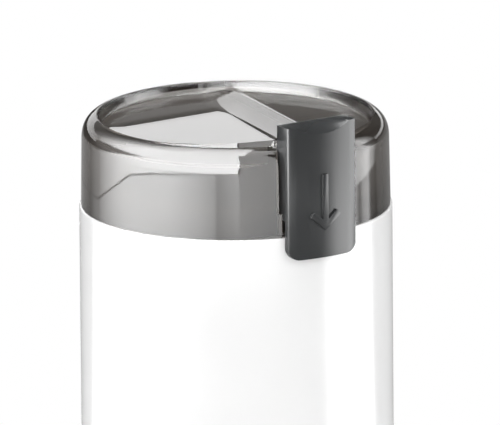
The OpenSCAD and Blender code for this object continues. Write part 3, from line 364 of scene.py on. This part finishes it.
def revolve(profile, steps=256):
    """A closed body of revolution from (r, z) points; points at r = 0 become poles."""
    points, faces, rings = [], [], []
    for r, z in profile:
        if r < 1e-6:
            rings.append([len(points)] * steps)
            points.append((0, 0, z))
        else:
            rings.append([len(points) + i for i in range(steps)])
            points += [(x, y, z) for x, y in circle(r, steps)]
    for a, b in zip(rings, rings[1:] + rings[:1]):
        for i in range(steps):
            j = (i + 1) % steps
            face = list(dict.fromkeys((a[i], a[j], b[j], b[i])))
            if len(face) > 2:
                faces.append(tuple(face))
    return closed_mesh("revolved", points, faces)


def combine(mesh, *others, how="DIFFERENCE"):
    """Cuts other meshes from a mesh, or joins them to it."""
    target = bpy.data.objects.new("target", mesh)
    bpy.context.scene.collection.objects.link(target)
    tools = []
    for other in others:
        tool = bpy.data.objects.new("tool", other)
        bpy.context.scene.collection.objects.link(tool)
        tools.append(tool)
        change = target.modifiers.new("change", "BOOLEAN")
        change.operation = how
        change.solver = "MANIFOLD"
        change.object = tool
    bpy.context.view_layer.update()
    result = bpy.data.meshes.new_from_object(target.evaluated_get(bpy.context.evaluated_depsgraph_get()))
    for o in tools + [target]:
        bpy.data.objects.remove(o)
    return result


def arc(cx, cy, r, a0, a1, steps):
    """Points on an arc, angles in degrees."""
    return [(cx + r * math.cos(math.radians(a0 + (a1 - a0) * i / steps)),
             cy + r * math.sin(math.radians(a0 + (a1 - a0) * i / steps))) for i in range(steps + 1)]


def smooth_min(a, b, k):
    h = max(k - abs(a - b), 0.0) / k
    return min(a, b) - h * h * k / 4


def smooth_max(a, b, k):
    return -smooth_min(-a, -b, k)


# ---------------------------------------------------------------- lid

LID_DRAFT = 0.3                      # how much narrower the wall is at its top
LID_WALL = 2.2
LID_H = 26.6
RIM_R = 7.5
RIM_POWER = 2.5                      # 2 is a round rim, more is a fuller shoulder
DISH_R = 39.5
DISH_LEAN = 0.6                      # how far the dish's wall leans inwards
DISH_LOW = 22.9
DISH_SMOOTH, WALL_SMOOTH = 0.8, 0.7  # rounding at the foot and at the head of the dish's wall
RAMP_HIGH = 28.0
RAMP_START, RAMP_END, RAMP_EASE = 17.0, 39.5, 7.0
STEP_R, STEP_FALL = 40.3, 240.0      # where the ramp's steep edge starts, and its slope
STEP_DROP, STEP_SMOOTH = 0.1, 0.3
STEP_SHARE = 0.7                     # share of the wall by which the hollow's step lies further in
RIDGE_SHARE = 0.6                    # share of the wall by which the hollow's ridge lies to the side
CREST_HIGH, CREST_LOW = 31.2, 23.8
CREST_FRONT_X, CREST_BACK_X = -3.2, 21.5
FLANK_W = 9.0                        # width of the ridge's gentle side
CREST_LAND = 0.9                     # width of the ridge's flat top
CREST_FALL = 0.7                     # width of its steep side
CHUTE_Y = 39.7                       # the chute's flat face, and the same on the hollow's side
CHUTE_IN_Y = 36.6
CHUTE_HALF = (BUTTON_HIGH.x - BUTTON_LOW.x) / 2 - 0.55
CHUTE_BLEND, CHUTE_LIFT = 1.5, 30.0  # beside the chute the step fades in over this width
SLOT_HALF = CHUTE_HALF + 0.85
SLOT_Y = 40.7
SLOT_LOW, SLOT_HIGH = 7.0, 25.0
CUT_PAST, CUT_HIGH = 5.0, 40.0       # how far cutting blocks reach past the lid

LID_TOP_R = LID_R - LID_DRAFT
RIM_BASE = LID_H - RIM_R
RIM_CENTRE = LID_TOP_R - RIM_R
CREST_SLOPE = (CREST_BACK_X - CREST_FRONT_X) / (2 * DISH_R)
RIM_SPLIT = 50.0                     # degrees above the horizon where the net of the top ends

# The net of points on the lid's top, in plan
RING_N = 360
RING_STEP, RINGS_TO = 0.28, 36.2
STEP_RINGS = (-0.06, -0.01, 0, 0.004, 0.008, 0.012, 0.016, 0.02, 0.06)
WALL_RINGS = (0, 0.5, 1)             # shares of the lean of the dish's wall
RING_CLEAR = 0.12                    # an even ring this close to one of those is left out
NET_GAP = 0.45                       # between the last ring and the net inside it
NET_ROWS, NET_ROW_STEP = 36, 1.05
LINE_ROWS, LINE_STEP, LINE_GAP = 160, 0.25, 0.3
FLANK_FOOT, FLANK_STEP, FLANK_N = -3.0, 0.25, 12
CREST_STEP, CREST_PAST = 0.14, 0.5
LEFT_START, LEFT_N, RIGHT_START, RIGHT_N = -4.0, 70, 0.6, 60
RIM_ROWS = 24
WALL_ROWS = (0.01, 0.25, 0.5, 0.75)  # shares of the wall's height, from its top


def rim_z(r, rim_r):
    """Height of the rim's rounded outside at a radius."""
    return RIM_BASE + max(rim_r ** RIM_POWER - max(r - RIM_CENTRE, 0.0) ** RIM_POWER, 0.0) ** (1 / RIM_POWER)


def rim_point(angle, rim_r):
    """A point (radius, height) of the same curve, 0 degrees at its widest."""
    c, s = math.cos(math.radians(angle)), math.sin(math.radians(angle))
    return RIM_CENTRE + rim_r * c ** (2 / RIM_POWER), RIM_BASE + rim_r * s ** (2 / RIM_POWER)


WALL_SLOPE = (rim_z(DISH_R, RIM_R) - DISH_LOW) / DISH_LEAN


def ramp(y):
    """Height of the ramp at y: level, then an even rise towards the button after a soft bend."""
    along = RAMP_START - y
    bent = (along + RAMP_EASE) ** 2 / (4 * RAMP_EASE) if abs(along) < RAMP_EASE else max(along, 0.0)
    return DISH_LOW + (RAMP_HIGH - DISH_LOW) * min(bent / (RAMP_START + RAMP_END), 1.0)


def crest_x(y):
    return CREST_FRONT_X + (y + DISH_R) * CREST_SLOPE


def crest_z(y):
    return CREST_HIGH + (CREST_LOW - CREST_HIGH) * (y + DISH_R) / (2 * DISH_R)


def relief(x, y):
    """Height of ramp, ridge and low floor inside the rim."""
    v = x - crest_x(y)
    if v < -FLANK_W:
        return ramp(y)
    if v <= 0:
        w = 1 + v / FLANK_W
        return ramp(y) + (crest_z(y) - ramp(y)) * w * w * (2 - w)
    over = max(v - CREST_LAND, 0.0)
    return max(crest_z(y) - over * (CREST_HIGH - DISH_LOW) / CREST_FALL, DISH_LOW)


def top_height(x, y, t):
    """Height of the lid's top (t = 0) or of the hollow under it (t = wall)."""
    r = math.hypot(x, y)
    rim = rim_z(r, RIM_R - t)
    step = RAMP_HIGH - t - STEP_DROP - STEP_FALL * (r + STEP_SHARE * t - STEP_R)
    free = min(max((CHUTE_HALF + CHUTE_BLEND - abs(x)) / CHUTE_BLEND, 0.0), 1.0) if y < 0 else 0.0
    inner = smooth_min(relief(x + t * RIDGE_SHARE, y) - t, step + CHUTE_LIFT * free * free, STEP_SMOOTH)
    if t:
        return min(max(inner, DISH_LOW - t), rim if r > STEP_R else LID_H * 2)
    wall = DISH_LOW + (r - (DISH_R - DISH_LEAN)) * WALL_SLOPE
    return smooth_max(smooth_min(wall, rim, WALL_SMOOTH), inner, DISH_SMOOTH)


def split_angle(t):
    """Degrees above the horizon where the rim's rings take over from the top's net."""
    if not t:
        return RIM_SPLIT
    return math.degrees(math.asin(((DISH_LOW - t - RIM_BASE) / (RIM_R - t)) ** (RIM_POWER / 2)))


def ring_radii(outer, t):
    """Radii of the rings round the top, from the outermost: even ones, and close ones at each edge."""
    even = [outer - RING_STEP * i for i in range(int((outer - RINGS_TO - t / 2) / RING_STEP) + 1)]
    edges = [STEP_R - STEP_SHARE * t + k for k in STEP_RINGS]
    edges += [DISH_R - DISH_LEAN * k for k in WALL_RINGS if not t]
    even = [r for r in even if r == outer or min(abs(r - edge) for edge in edges) > RING_CLEAR]
    return sorted(even + [edge for edge in edges if edge < outer - 0.1], reverse=True)


def net_offsets():
    """Distances from the crest line at which the net has a point, close together near the crest."""
    flank = [FLANK_FOOT + FLANK_STEP * i for i in range(FLANK_N)]
    crest = [CREST_STEP * i for i in range(int((CREST_LAND + CREST_FALL + CREST_PAST) / CREST_STEP) + 1)]
    left = [LEFT_START - 1.0 * i for i in range(LEFT_N)]
    right = [crest[-1] + RIGHT_START + 1.0 * i for i in range(RIGHT_N)]
    return flank + crest + left + right


def top_net(t):
    """Points of the top in plan, finer along the rim and the crest, with the outer ring first."""
    outer = rim_point(split_angle(t), RIM_R - t)[0]
    radii = ring_radii(outer, t)
    plan = [place for k, r in enumerate(radii) for place in circle(r, RING_N, 0.5 * (k % 2))]
    inside = radii[-1] - NET_GAP
    offsets = net_offsets()
    rows = [k * NET_ROW_STEP for k in range(-NET_ROWS, NET_ROWS + 1)]
    net = [(crest_x(y) + v, y) for y in rows for v in offsets]
    plan += [(x, y) for x, y in net if math.hypot(x, y) < inside]
    rows = [k * LINE_STEP for k in range(-LINE_ROWS, LINE_ROWS + 1)]
    lines = [(crest_x(y) + v, y) for v in (0, CREST_LAND, CREST_LAND + CREST_FALL) for y in rows]
    return plan + [(x, y) for x, y in lines if inside <= math.hypot(x, y) < outer - LINE_GAP]


def top_surface(t):
    """The top as points and faces, and the places of its outer ring among the points."""
    edges = [(i, (i + 1) % RING_N) for i in range(RING_N)]
    found = delaunay_2d_cdt([Vector(p) for p in top_net(t)], edges, [], 1, 1e-5)
    points = [(p.x, p.y, top_height(p.x, p.y, t)) for p in found[0]]
    new_place = {old: new for new, olds in enumerate(found[3]) for old in olds}
    return points, [tuple(f) for f in found[2]], [new_place[i] for i in range(RING_N)]


def lid_solid(t):
    """The lid's outer form (t = 0) or the hollow inside it (t = wall), closed at the bottom."""
    points, faces, ring = top_surface(t)
    rows = [rim_point(split_angle(t) * (1 - i / RIM_ROWS), RIM_R - t) for i in range(1, RIM_ROWS + 1)]
    rows += [(LID_TOP_R - t + LID_DRAFT * i, RIM_BASE * (1 - i)) for i in WALL_ROWS]
    rows.append((LID_R - t, -1 if t else 0))
    for r, z in rows:
        new = list(range(len(points), len(points) + RING_N))
        points += [(x, y, z) for x, y in circle(r, RING_N)]
        faces += [(ring[i], ring[(i + 1) % RING_N], new[(i + 1) % RING_N], new[i]) for i in range(RING_N)]
        ring = new
    faces.append(tuple(ring))
    mesh = closed_mesh("lid_form", points, faces)
    mesh.transform(Matrix.Translation((0, 0, SEAM_Z)))
    return mesh


def mark_inner(mesh):
    """Marks the faces of the lid's hollow with 1, so that its material can tell them apart."""
    mark = mesh.attributes.new("inner", "FLOAT", "FACE")
    for face in mesh.polygons:
        x, y, z = face.center
        r = math.hypot(x, y)
        below = top_height(x, y, 0) - (z - SEAM_Z) if r < LID_TOP_R else LID_H
        inside = r < LID_R - LID_WALL / 2 and below > LID_WALL / 2 and y > -CHUTE_Y + 0.5
        mark.data[face.index].value = 1.0 if inside else 0.0


def make_lid():
    reach, foot, head = LID_R + CUT_PAST, SEAM_Z - CUT_PAST, SEAM_Z + CUT_HIGH
    hollow = combine(lid_solid(LID_WALL), block((-reach, -reach, foot), (reach, -CHUTE_IN_Y, head)))
    chute = block((-CHUTE_HALF, -reach, foot), (CHUTE_HALF, -CHUTE_Y, head))
    slot = block((-SLOT_HALF, -reach, SEAM_Z + SLOT_LOW), (SLOT_HALF, -SLOT_Y, SEAM_Z + SLOT_HIGH))
    mesh = combine(lid_solid(0), hollow, chute, slot)
    mark_inner(mesh)
    piece = link_mesh("lid", mesh, M_LID)
    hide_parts("lid_shell")
    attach(piece, "lid")


make_lid()

# ---------------------------------------------------------------- button

BUTTON_EDGE_R = 0.5
BUTTON_CORNER_R = 3.5
BUTTON_HALF = CHUTE_HALF - 0.3
BUTTON_BACK_Y = CHUTE_Y + 0.3
FINGER_HALF_W, FINGER_DEPTH = 10.2, 2.5
FINGER_LAND = 0.6                    # what is left flat behind the finger's hollow
PUSH_Z = 5.0                         # the button's inner foot above the seam
SLEEVE_GAP = 0.3                     # between the button's apron and the body
SOFTENING = 0.45                     # rounding of the button's edges
ROUND_ANGLE = 40.0
ARROW_HALF_W = 0.95
ARROW_TOP, ARROW_TIP = 18.1, 1.6
ARROW_ARM_LOW, ARROW_ARM_HIGH = (5.1, 5.9), (3.9, 7.35)
ARROW_NOTCH = 4.1                    # where the arms' upper edges meet behind the shaft
ARROW_RISE = 0.65                    # the raised arrow's flat face above the button's
ARROW_SOFTENING = 0.14


def button_plan():
    """The button seen from above: a curved face with small round corners and a flat back."""
    x = BUTTON_HALF - BUTTON_EDGE_R
    y = -math.sqrt((BUTTON_R - BUTTON_EDGE_R) ** 2 - x * x)
    tangent = math.degrees(math.atan2(y, x))
    face = arc(0, 0, BUTTON_R, -180 - tangent, tangent, 40)
    right = arc(x, y, BUTTON_EDGE_R, tangent, 0, 8)[1:]
    left = arc(-x, y, BUTTON_EDGE_R, -180, -180 - tangent, 8)[:-1]
    return left + face + right + [(BUTTON_HALF, -BUTTON_BACK_Y), (-BUTTON_HALF, -BUTTON_BACK_Y)]


def button_front():
    """The button seen from the front: round lower corners."""
    low, high, r = BUTTON_LOW.z, BUTTON_HIGH.z, BUTTON_CORNER_R
    x = BUTTON_HALF - r
    return (arc(-x, low + r, r, 180, 270, 16) + arc(x, low + r, r, 270, 360, 16)
            + [(BUTTON_HALF, high), (-BUTTON_HALF, high)])


def arrow_outline():
    lx, lz = ARROW_ARM_LOW
    hx, hz = ARROW_ARM_HIGH
    w = ARROW_HALF_W
    bend = ARROW_NOTCH + w * (hz - ARROW_NOTCH) / hx
    half = [(0, ARROW_TIP), (lx, lz), (hx, hz), (w, bend), (w, ARROW_TOP)]
    points = half + [(-x, z) for x, z in reversed(half[1:])]
    return [(x, z + SEAM_Z) for x, z in points]


def round_edges(mesh, width, segments=3):
    """Rounds the edges of a mesh that turn by more than ROUND_ANGLE degrees."""
    body = bpy.data.objects.new("soft", mesh)
    bpy.context.scene.collection.objects.link(body)
    bevel = body.modifiers.new("bevel", "BEVEL")
    bevel.width, bevel.segments = width, segments
    bevel.limit_method = "ANGLE"
    bevel.angle_limit = math.radians(ROUND_ANGLE)
    bpy.context.view_layer.update()
    result = bpy.data.meshes.new_from_object(body.evaluated_get(bpy.context.evaluated_depsgraph_get()))
    bpy.data.objects.remove(body)
    return result


def finger_hollow():
    """A slanted round groove, deepest at the button's face, that runs out towards its back."""
    r = (FINGER_HALF_W ** 2 + FINGER_DEPTH ** 2) / (2 * FINGER_DEPTH)
    tilt = math.atan(FINGER_DEPTH / (BUTTON_R - BUTTON_BACK_Y - FINGER_LAND))
    groove = extrude(arc(0, r, r, 0, 360, 360)[:-1], -r, 2 * r, "Y")
    groove.transform(Matrix.Rotation(tilt, 4, "X"))
    groove.transform(Matrix.Translation((0, -BUTTON_R, BUTTON_HIGH.z - FINGER_DEPTH)))
    return groove


def make_button():
    mesh = combine(extrude(button_plan(), BUTTON_LOW.z, BUTTON_HIGH.z),
                   extrude(button_front(), -BUTTON_R - 1, -BUTTON_BACK_Y + 1, "Y"), how="INTERSECT")
    room_r, foot, head = BODY_R + SLEEVE_GAP, BUTTON_LOW.z - 1, SEAM_Z + PUSH_Z
    sleeve_room = revolve([(0, foot), (room_r, foot), (room_r, head), (0, head)], 720)
    mesh = round_edges(combine(mesh, sleeve_room, finger_hollow()), SOFTENING)
    arrow = extrude(arrow_outline(), -BUTTON_R - ARROW_RISE, -BUTTON_R + 1, "Y")
    mesh = combine(mesh, round_edges(arrow, ARROW_SOFTENING, 2), how="UNION")
    piece = link_mesh("button", mesh, M_BUTTON, 30)
    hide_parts("push_button")
    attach(piece, "button")


make_button()

# ---------------------------------------------------------------- floor, backdrop and light

# Tables of the light tent hold (azimuth, value) pairs, or (height, azimuth) and (distance, value) where
# they say so. Azimuths are degrees from the camera's side of the axis, positive to its right. Values are
# glows or, for feet, tops and gaps, heights in millimetres.
STAGE_R = 6000.0
SHADOW_R = (150.0, 215.0)            # the floor's shadow fades to the backdrop's white between these
FLOOR_MIRRORED = 0.3                 # how bright the far floor looks in a mirror
WORLD_FILL, WORLD_MIRRORED = 0.54, 0.08
THROUGH = 0.3                        # how bright floor and backdrop look through the lid
CARD_R, CARD_TOP = 500.0, 1000.0     # radius and height of the light tent
ROOF_RIGHT = 85.0                    # where the tent's roof ends, to the right of the axis
TENT_FOOT = ((-180, 10), (-121, 19.5), (-102, 28), (-82, 37), (-61, 41.5), (-36, 44.5), (-15, 46), (15, 46))
TENT_LEFT, TENT_FOOT_RIGHT = -180, 2.2
TENT_COLUMNS, TENT_ROWS, TENT_CROWD = 150, 45, 1.6
TENT_END = ((46, 1.5), (150, 2.6), (300, 5), (468, 7.8), (1000, 12))    # (height, azimuth)
TENT_SIDE = ((-155, 0.4), (-133, 0.3), (-119, 1.2), (-104, 4.8), (-88, 10), (-74, 14), (-58, 17), (15, 17.5))
TENT_LEAN = 0.045                    # degrees per millimetre by which the tent's far end leans back
TENT_UPRIGHT = 60.0                  # ... above this height
ROOF_GLOW = 15.0
ROOF_FADE = ((-650, 0.25), (-450, 0.25), (-200, 0.6), (-50, 0.75), (150, 1.0))    # (distance, value)
GAP_LOW = ((-121, 60), (-105, 105), (-88, 185), (-74, 225), (-60, 270))
GAP_HIGH = ((-121, 270), (-109, 310), (-92, 300), (-74, 285), (-60, 270))
GAP_LEVEL, GAP_SOFT = 0.15, 30.0
BAND_LOW = 2.0
FOOT_GAP = 0.5                       # a thin dark line between tent and band
BAND_SPLIT = 15.0                    # below this height the band has the dark row of levels
BAND_DARK = ((-180, 0.4), (-133, 0.3), (-119, 1.2), (-105, 3.4), (-88, 7.4), (-74, 9.2), (-50, 7.6),
             (-26, 5.7), (-15, 3.2), (-13, 1.9), (2, 2.0), (3.5, 4.4), (32, 3.6), (45, 1.0), (60, 0.8))
BAND_LIGHT = ((-180, 0.4), (-133, 0.3), (-119, 1.3), (-105, 4.7), (-88, 9.2), (-74, 11.2), (-50, 12.5),
              (-26, 8.7), (-15, 6.6), (-13, 4.7), (2, 7.2), (3.5, 4.6), (32, 4.4), (45, 1.0), (60, 0.8))
FRONT_CARD = (3, 32)                 # azimuths from the camera, positive to its right
FRONT_GLOW = 4.4
FRONT_FOOT = 45.0
SIDE_CARD = (60, 126)
SIDE_GLOW = ((60, 0.0), (64, 1.0), (73, 7.5), (94, 8.5), (99, 4.8), (112, 5.4), (117, 2.5), (126, 0.0))
SIDE_FOOT, SIDE_TOP = 29.0, 700.0
SIDE_GAP = ((104, 250, 250), (111, 150, 250), (118, 110, 240), (126, 90, 230))
SIDE_BAND = ((60, 0.0), (64, 1.0), (73, 7.5), (94, 8.5), (98, 3.0), (102, 1.2), (106, 3.0), (113, 3.2),
             (116, 0.4), (126, 0.0))
FLOOR_CARD = (-127, -20)
FLOOR_GLOW = ((-127, 2.4), (-70, 3.0), (-45, 1.6), (-20, 0.3))
FLOOR_CARD_NEAR = 90.0
BACK_CARD = (125, 235)
BACK_CARD_R = 460.0
BACK_CARD_LOW = 3.0                  # degrees above the horizon, seen from the dish, as in BACK_TOP
BACK_TOP = ((125, 8.5), (185.5, 8.5), (187, 17), (235, 17))
BACK_GLOW = 1.42
GLOW_OUTSIDE, GLOW_INSIDE = 1.15, 0.3  # share of the cards' glow in mirrors outside and inside the lid

LAMPS = (                            # name, (azimuth, distance, height), size in mm, watts
    ("key_lamp", (-50, 1100, 950), (900, 900), 9),
    ("fill_lamp", (65, 1200, 700), (900, 900), 6),
    ("top_lamp", (180, 250, 1300), (1000, 1000), 6),
)


def ray_kinds(nodes):
    """Three amounts: rays from the camera, rays through the lid and mirror rays."""
    path = nodes.add("ShaderNodeLightPath").outputs
    return path["Is Camera Ray"], path["Is Transmission Ray"], path["Is Glossy Ray"]


def make_floor():
    bm = bmesh.new()
    bmesh.ops.create_circle(bm, cap_ends=True, segments=96, radius=STAGE_R)
    mesh = bpy.data.meshes.new("floor")
    bm.to_mesh(mesh)
    bm.free()
    n = Nodes("floor")
    n.set(Base_Color=rgb(0.82, 0.82, 0.82), Roughness=0.6)
    n.shader.inputs["Specular IOR Level"].default_value = 0.1
    far = n.add("ShaderNodeVectorMath", {0: n.place}, operation="LENGTH").outputs["Value"]
    fade = n.range(far, 0, 1, (SHADOW_R[0] * MM, SHADOW_R[1] * MM))
    seen, through, mirrored = ray_kinds(n)
    level = n.range(mirrored, n.range(through, 1.0, THROUGH, (0, 1)), FLOOR_MIRRORED, (0, 1))
    white = n.add("ShaderNodeEmission", {"Color": rgb(1, 1, 1), "Strength": level})
    either = n.add("ShaderNodeMath", {0: seen, 1: through}, operation="MAXIMUM").outputs[0]
    either = n.add("ShaderNodeMath", {0: either, 1: mirrored}, operation="MAXIMUM").outputs[0]
    amount = n.add("ShaderNodeMath", {0: fade, 1: either}, operation="MULTIPLY").outputs[0]
    mixed = n.add("ShaderNodeMixShader", {0: amount, 1: n.shader.outputs[0], 2: white.outputs[0]})
    n.put(n.output.inputs["Surface"], mixed.outputs[0])
    floor = link_mesh("floor", mesh, n.material)


def make_world():
    world = bpy.data.worlds.new("world")
    bpy.context.scene.world = world
    world.use_nodes = True
    tree = world.node_tree
    back = tree.nodes["Background"]
    back.inputs["Color"].default_value = rgb(1, 1, 1)
    path = tree.nodes.new("ShaderNodeLightPath")
    mirror = tree.nodes.new("ShaderNodeMapRange")
    mirror.inputs["To Min"].default_value = WORLD_FILL
    mirror.inputs["To Max"].default_value = WORLD_MIRRORED
    tree.links.new(path.outputs["Is Glossy Ray"], mirror.inputs["Value"])
    through = tree.nodes.new("ShaderNodeMix")
    tree.links.new(path.outputs["Is Transmission Ray"], through.inputs["Factor"])
    tree.links.new(mirror.outputs["Result"], through.inputs["A"])
    through.inputs["B"].default_value = THROUGH
    level = tree.nodes.new("ShaderNodeMath")
    level.operation = "MAXIMUM"
    tree.links.new(through.outputs["Result"], level.inputs[0])
    tree.links.new(path.outputs["Is Camera Ray"], level.inputs[1])
    tree.links.new(level.outputs[0], back.inputs["Strength"])


def seen_from_camera(side, depth, height):
    """A place given from the camera: millimetres to the right, towards the camera and up."""
    flat = Vector((BACK.x, BACK.y, 0)).normalized()
    return RIGHT * side + flat * depth + Vector((0, 0, height))


def around(azimuth, r, z):
    """A place at an azimuth from the camera's side of the axis, positive to the right."""
    a = math.radians(azimuth)
    return seen_from_camera(r * math.sin(a), r * math.cos(a), z)


def area_light(name, place, size, power):
    """A soft lamp aimed at the object that no mirror shows."""
    light = bpy.data.lights.new(name, "AREA")
    light.shape = "RECTANGLE"
    light.size, light.size_y = size[0] * MM, size[1] * MM
    light.energy = power
    lamp = bpy.data.objects.new(name, light)
    bpy.context.scene.collection.objects.link(lamp)
    lamp.location = place * MM
    toward = (Vector((0, 0, SEAM_Z)) - place).normalized()
    lamp.rotation_mode = "QUATERNION"
    lamp.rotation_quaternion = toward.to_track_quat("-Z", "Y")
    lamp.visible_glossy = False
    lamp.visible_camera = False
    lamp.visible_transmission = False


def between(pairs, at):
    """The value at a place in a table of (place, value) pairs, on straight lines between them."""
    if at <= pairs[0][0]:
        return pairs[0][1]
    for (a0, v0), (a1, v1) in zip(pairs, pairs[1:]):
        if at <= a1:
            return v0 + (v1 - v0) * (at - a0) / (a1 - a0)
    return pairs[-1][1]


def glow_card(name, columns, glow):
    """A white card that only mirrors show: columns of (azimuth, radius, height) with a glow for each."""
    n = len(columns[0])
    places = [place for column in columns for place in column]
    faces = [(k * n + i, k * n + i + 1, (k + 1) * n + i + 1, (k + 1) * n + i)
             for k in range(len(columns) - 1) for i in range(n - 1)]
    nodes = Nodes(name)
    level = nodes.add("ShaderNodeAttribute", attribute_name="glow").outputs["Fac"]
    inside = nodes.add("ShaderNodeLightPath").outputs["Transmission Depth"]
    share = nodes.range(inside, GLOW_OUTSIDE, GLOW_INSIDE, (0, 1))
    level = nodes.add("ShaderNodeMath", {0: level, 1: share}, operation="MULTIPLY").outputs[0]
    light = nodes.add("ShaderNodeEmission", {"Color": rgb(1, 1, 1), "Strength": level})
    nodes.put(nodes.output.inputs["Surface"], light.outputs[0])
    mesh = bpy.data.meshes.new(name)
    mesh.from_pydata([around(*place) for place in places], [], faces)
    mark = mesh.attributes.new("glow", "FLOAT", "POINT")
    for i, place in enumerate(places):
        mark.data[i].value = glow(*place)
    card = link_mesh(name, mesh, nodes.material)
    card.visible_camera = False
    card.visible_diffuse = False
    card.visible_transmission = False
    card.visible_shadow = False


def steps(low, high, n):
    return [low + (high - low) * i / n for i in range(n + 1)]


def soft_gap(z, low, high):
    """1 outside a gap between two heights, the gap's level inside, with soft edges."""
    inside = min(max((z - low) / GAP_SOFT, 0), 1) * min(max((high - z) / GAP_SOFT, 0), 1)
    return 1 - (1 - GAP_LEVEL) * inside


def tent_glow(a, r, z):
    side = between(TENT_SIDE, a + TENT_LEAN * max(z - TENT_UPRIGHT, 0))
    if a < GAP_LOW[-1][0]:
        side *= soft_gap(z, between(GAP_LOW, a), between(GAP_HIGH, a))
    return side * between(ROOF_FADE, r * math.cos(math.radians(a)) + CARD_R * (1 - z / CARD_TOP))


def tent_columns():
    """The tent's round wall, whose right end leans outwards as it rises."""
    columns = []
    for k in steps(0, 1, TENT_COLUMNS):
        start = between(TENT_FOOT, TENT_LEFT + (TENT_FOOT_RIGHT - TENT_LEFT) * k)
        heights = [start + (CARD_TOP - start) * (i / TENT_ROWS) ** TENT_CROWD for i in range(TENT_ROWS + 1)]
        columns.append([(TENT_LEFT + (between(TENT_END, z) - TENT_LEFT) * k, CARD_R, z) for z in heights])
    return columns


def roof_columns(left, right, back=-1):
    """The tent's flat roof between two distances to the right of the axis."""
    columns = []
    for side in steps(left, right, 12):
        reach = math.sqrt(max(CARD_R ** 2 - side ** 2, 1))
        columns.append([(math.degrees(math.atan2(side, d)), math.hypot(side, d), CARD_TOP)
                        for d in steps(back * reach, reach, 24)])
    return columns


def side_glow(a, r, z):
    gap = [between([(row[0], row[i]) for row in SIDE_GAP], a) for i in (1, 2)]
    return between(SIDE_GLOW, a) * (soft_gap(z, *gap) if a > SIDE_GAP[0][0] else 1)


def make_cards():
    glow_card("tent_card", tent_columns(), tent_glow)
    glow_card("roof_front_card", roof_columns(ROOF_RIGHT, CARD_R, -0.1), lambda a, r, z: FRONT_GLOW)
    glow_card("roof_card", roof_columns(-CARD_R, ROOF_RIGHT),
              lambda a, r, z: ROOF_GLOW * between(ROOF_FADE, r * math.cos(math.radians(a))))
    low, high = BAND_DARK[0][0], BAND_DARK[-1][0]
    glow_card("band_card", [[(a, CARD_R, BAND_LOW), (a, CARD_R, between(TENT_FOOT, a) - FOOT_GAP)]
                            for a in steps(low, high, 240)],
              lambda a, r, z: between(BAND_DARK if z < BAND_SPLIT else BAND_LIGHT, a))
    glow_card("front_card", [[(a, CARD_R, z) for z in (FRONT_FOOT, CARD_TOP)] for a in steps(*FRONT_CARD, 8)],
              lambda a, r, z: FRONT_GLOW)
    glow_card("side_card", [[(a, CARD_R, z) for z in steps(SIDE_FOOT, SIDE_TOP, 60)]
                            for a in steps(*SIDE_CARD, 44)], side_glow)
    glow_card("side_band_card", [[(a, CARD_R / 2, 1), (a, CARD_R, 1), (a, CARD_R, SIDE_FOOT)]
                                 for a in steps(*SIDE_CARD, 44)], lambda a, r, z: between(SIDE_BAND, a))
    glow_card("floor_card", [[(a, r, 1) for r in (FLOOR_CARD_NEAR, CARD_R)] for a in steps(*FLOOR_CARD, 40)],
              lambda a, r, z: between(FLOOR_GLOW, a))
    tops = [(a, between(BACK_TOP, a)) for a in steps(*BACK_CARD, 110)]
    glow_card("back_card", [[(a, BACK_CARD_R, SEAM_Z + DISH_LOW + BACK_CARD_R * math.tan(math.radians(e)))
                             for e in (BACK_CARD_LOW, top)] for a, top in tops], lambda a, r, z: BACK_GLOW)


make_floor()
make_world()
for name, place, size, power in LAMPS:
    area_light(name, around(*place), size, power)
make_cards()
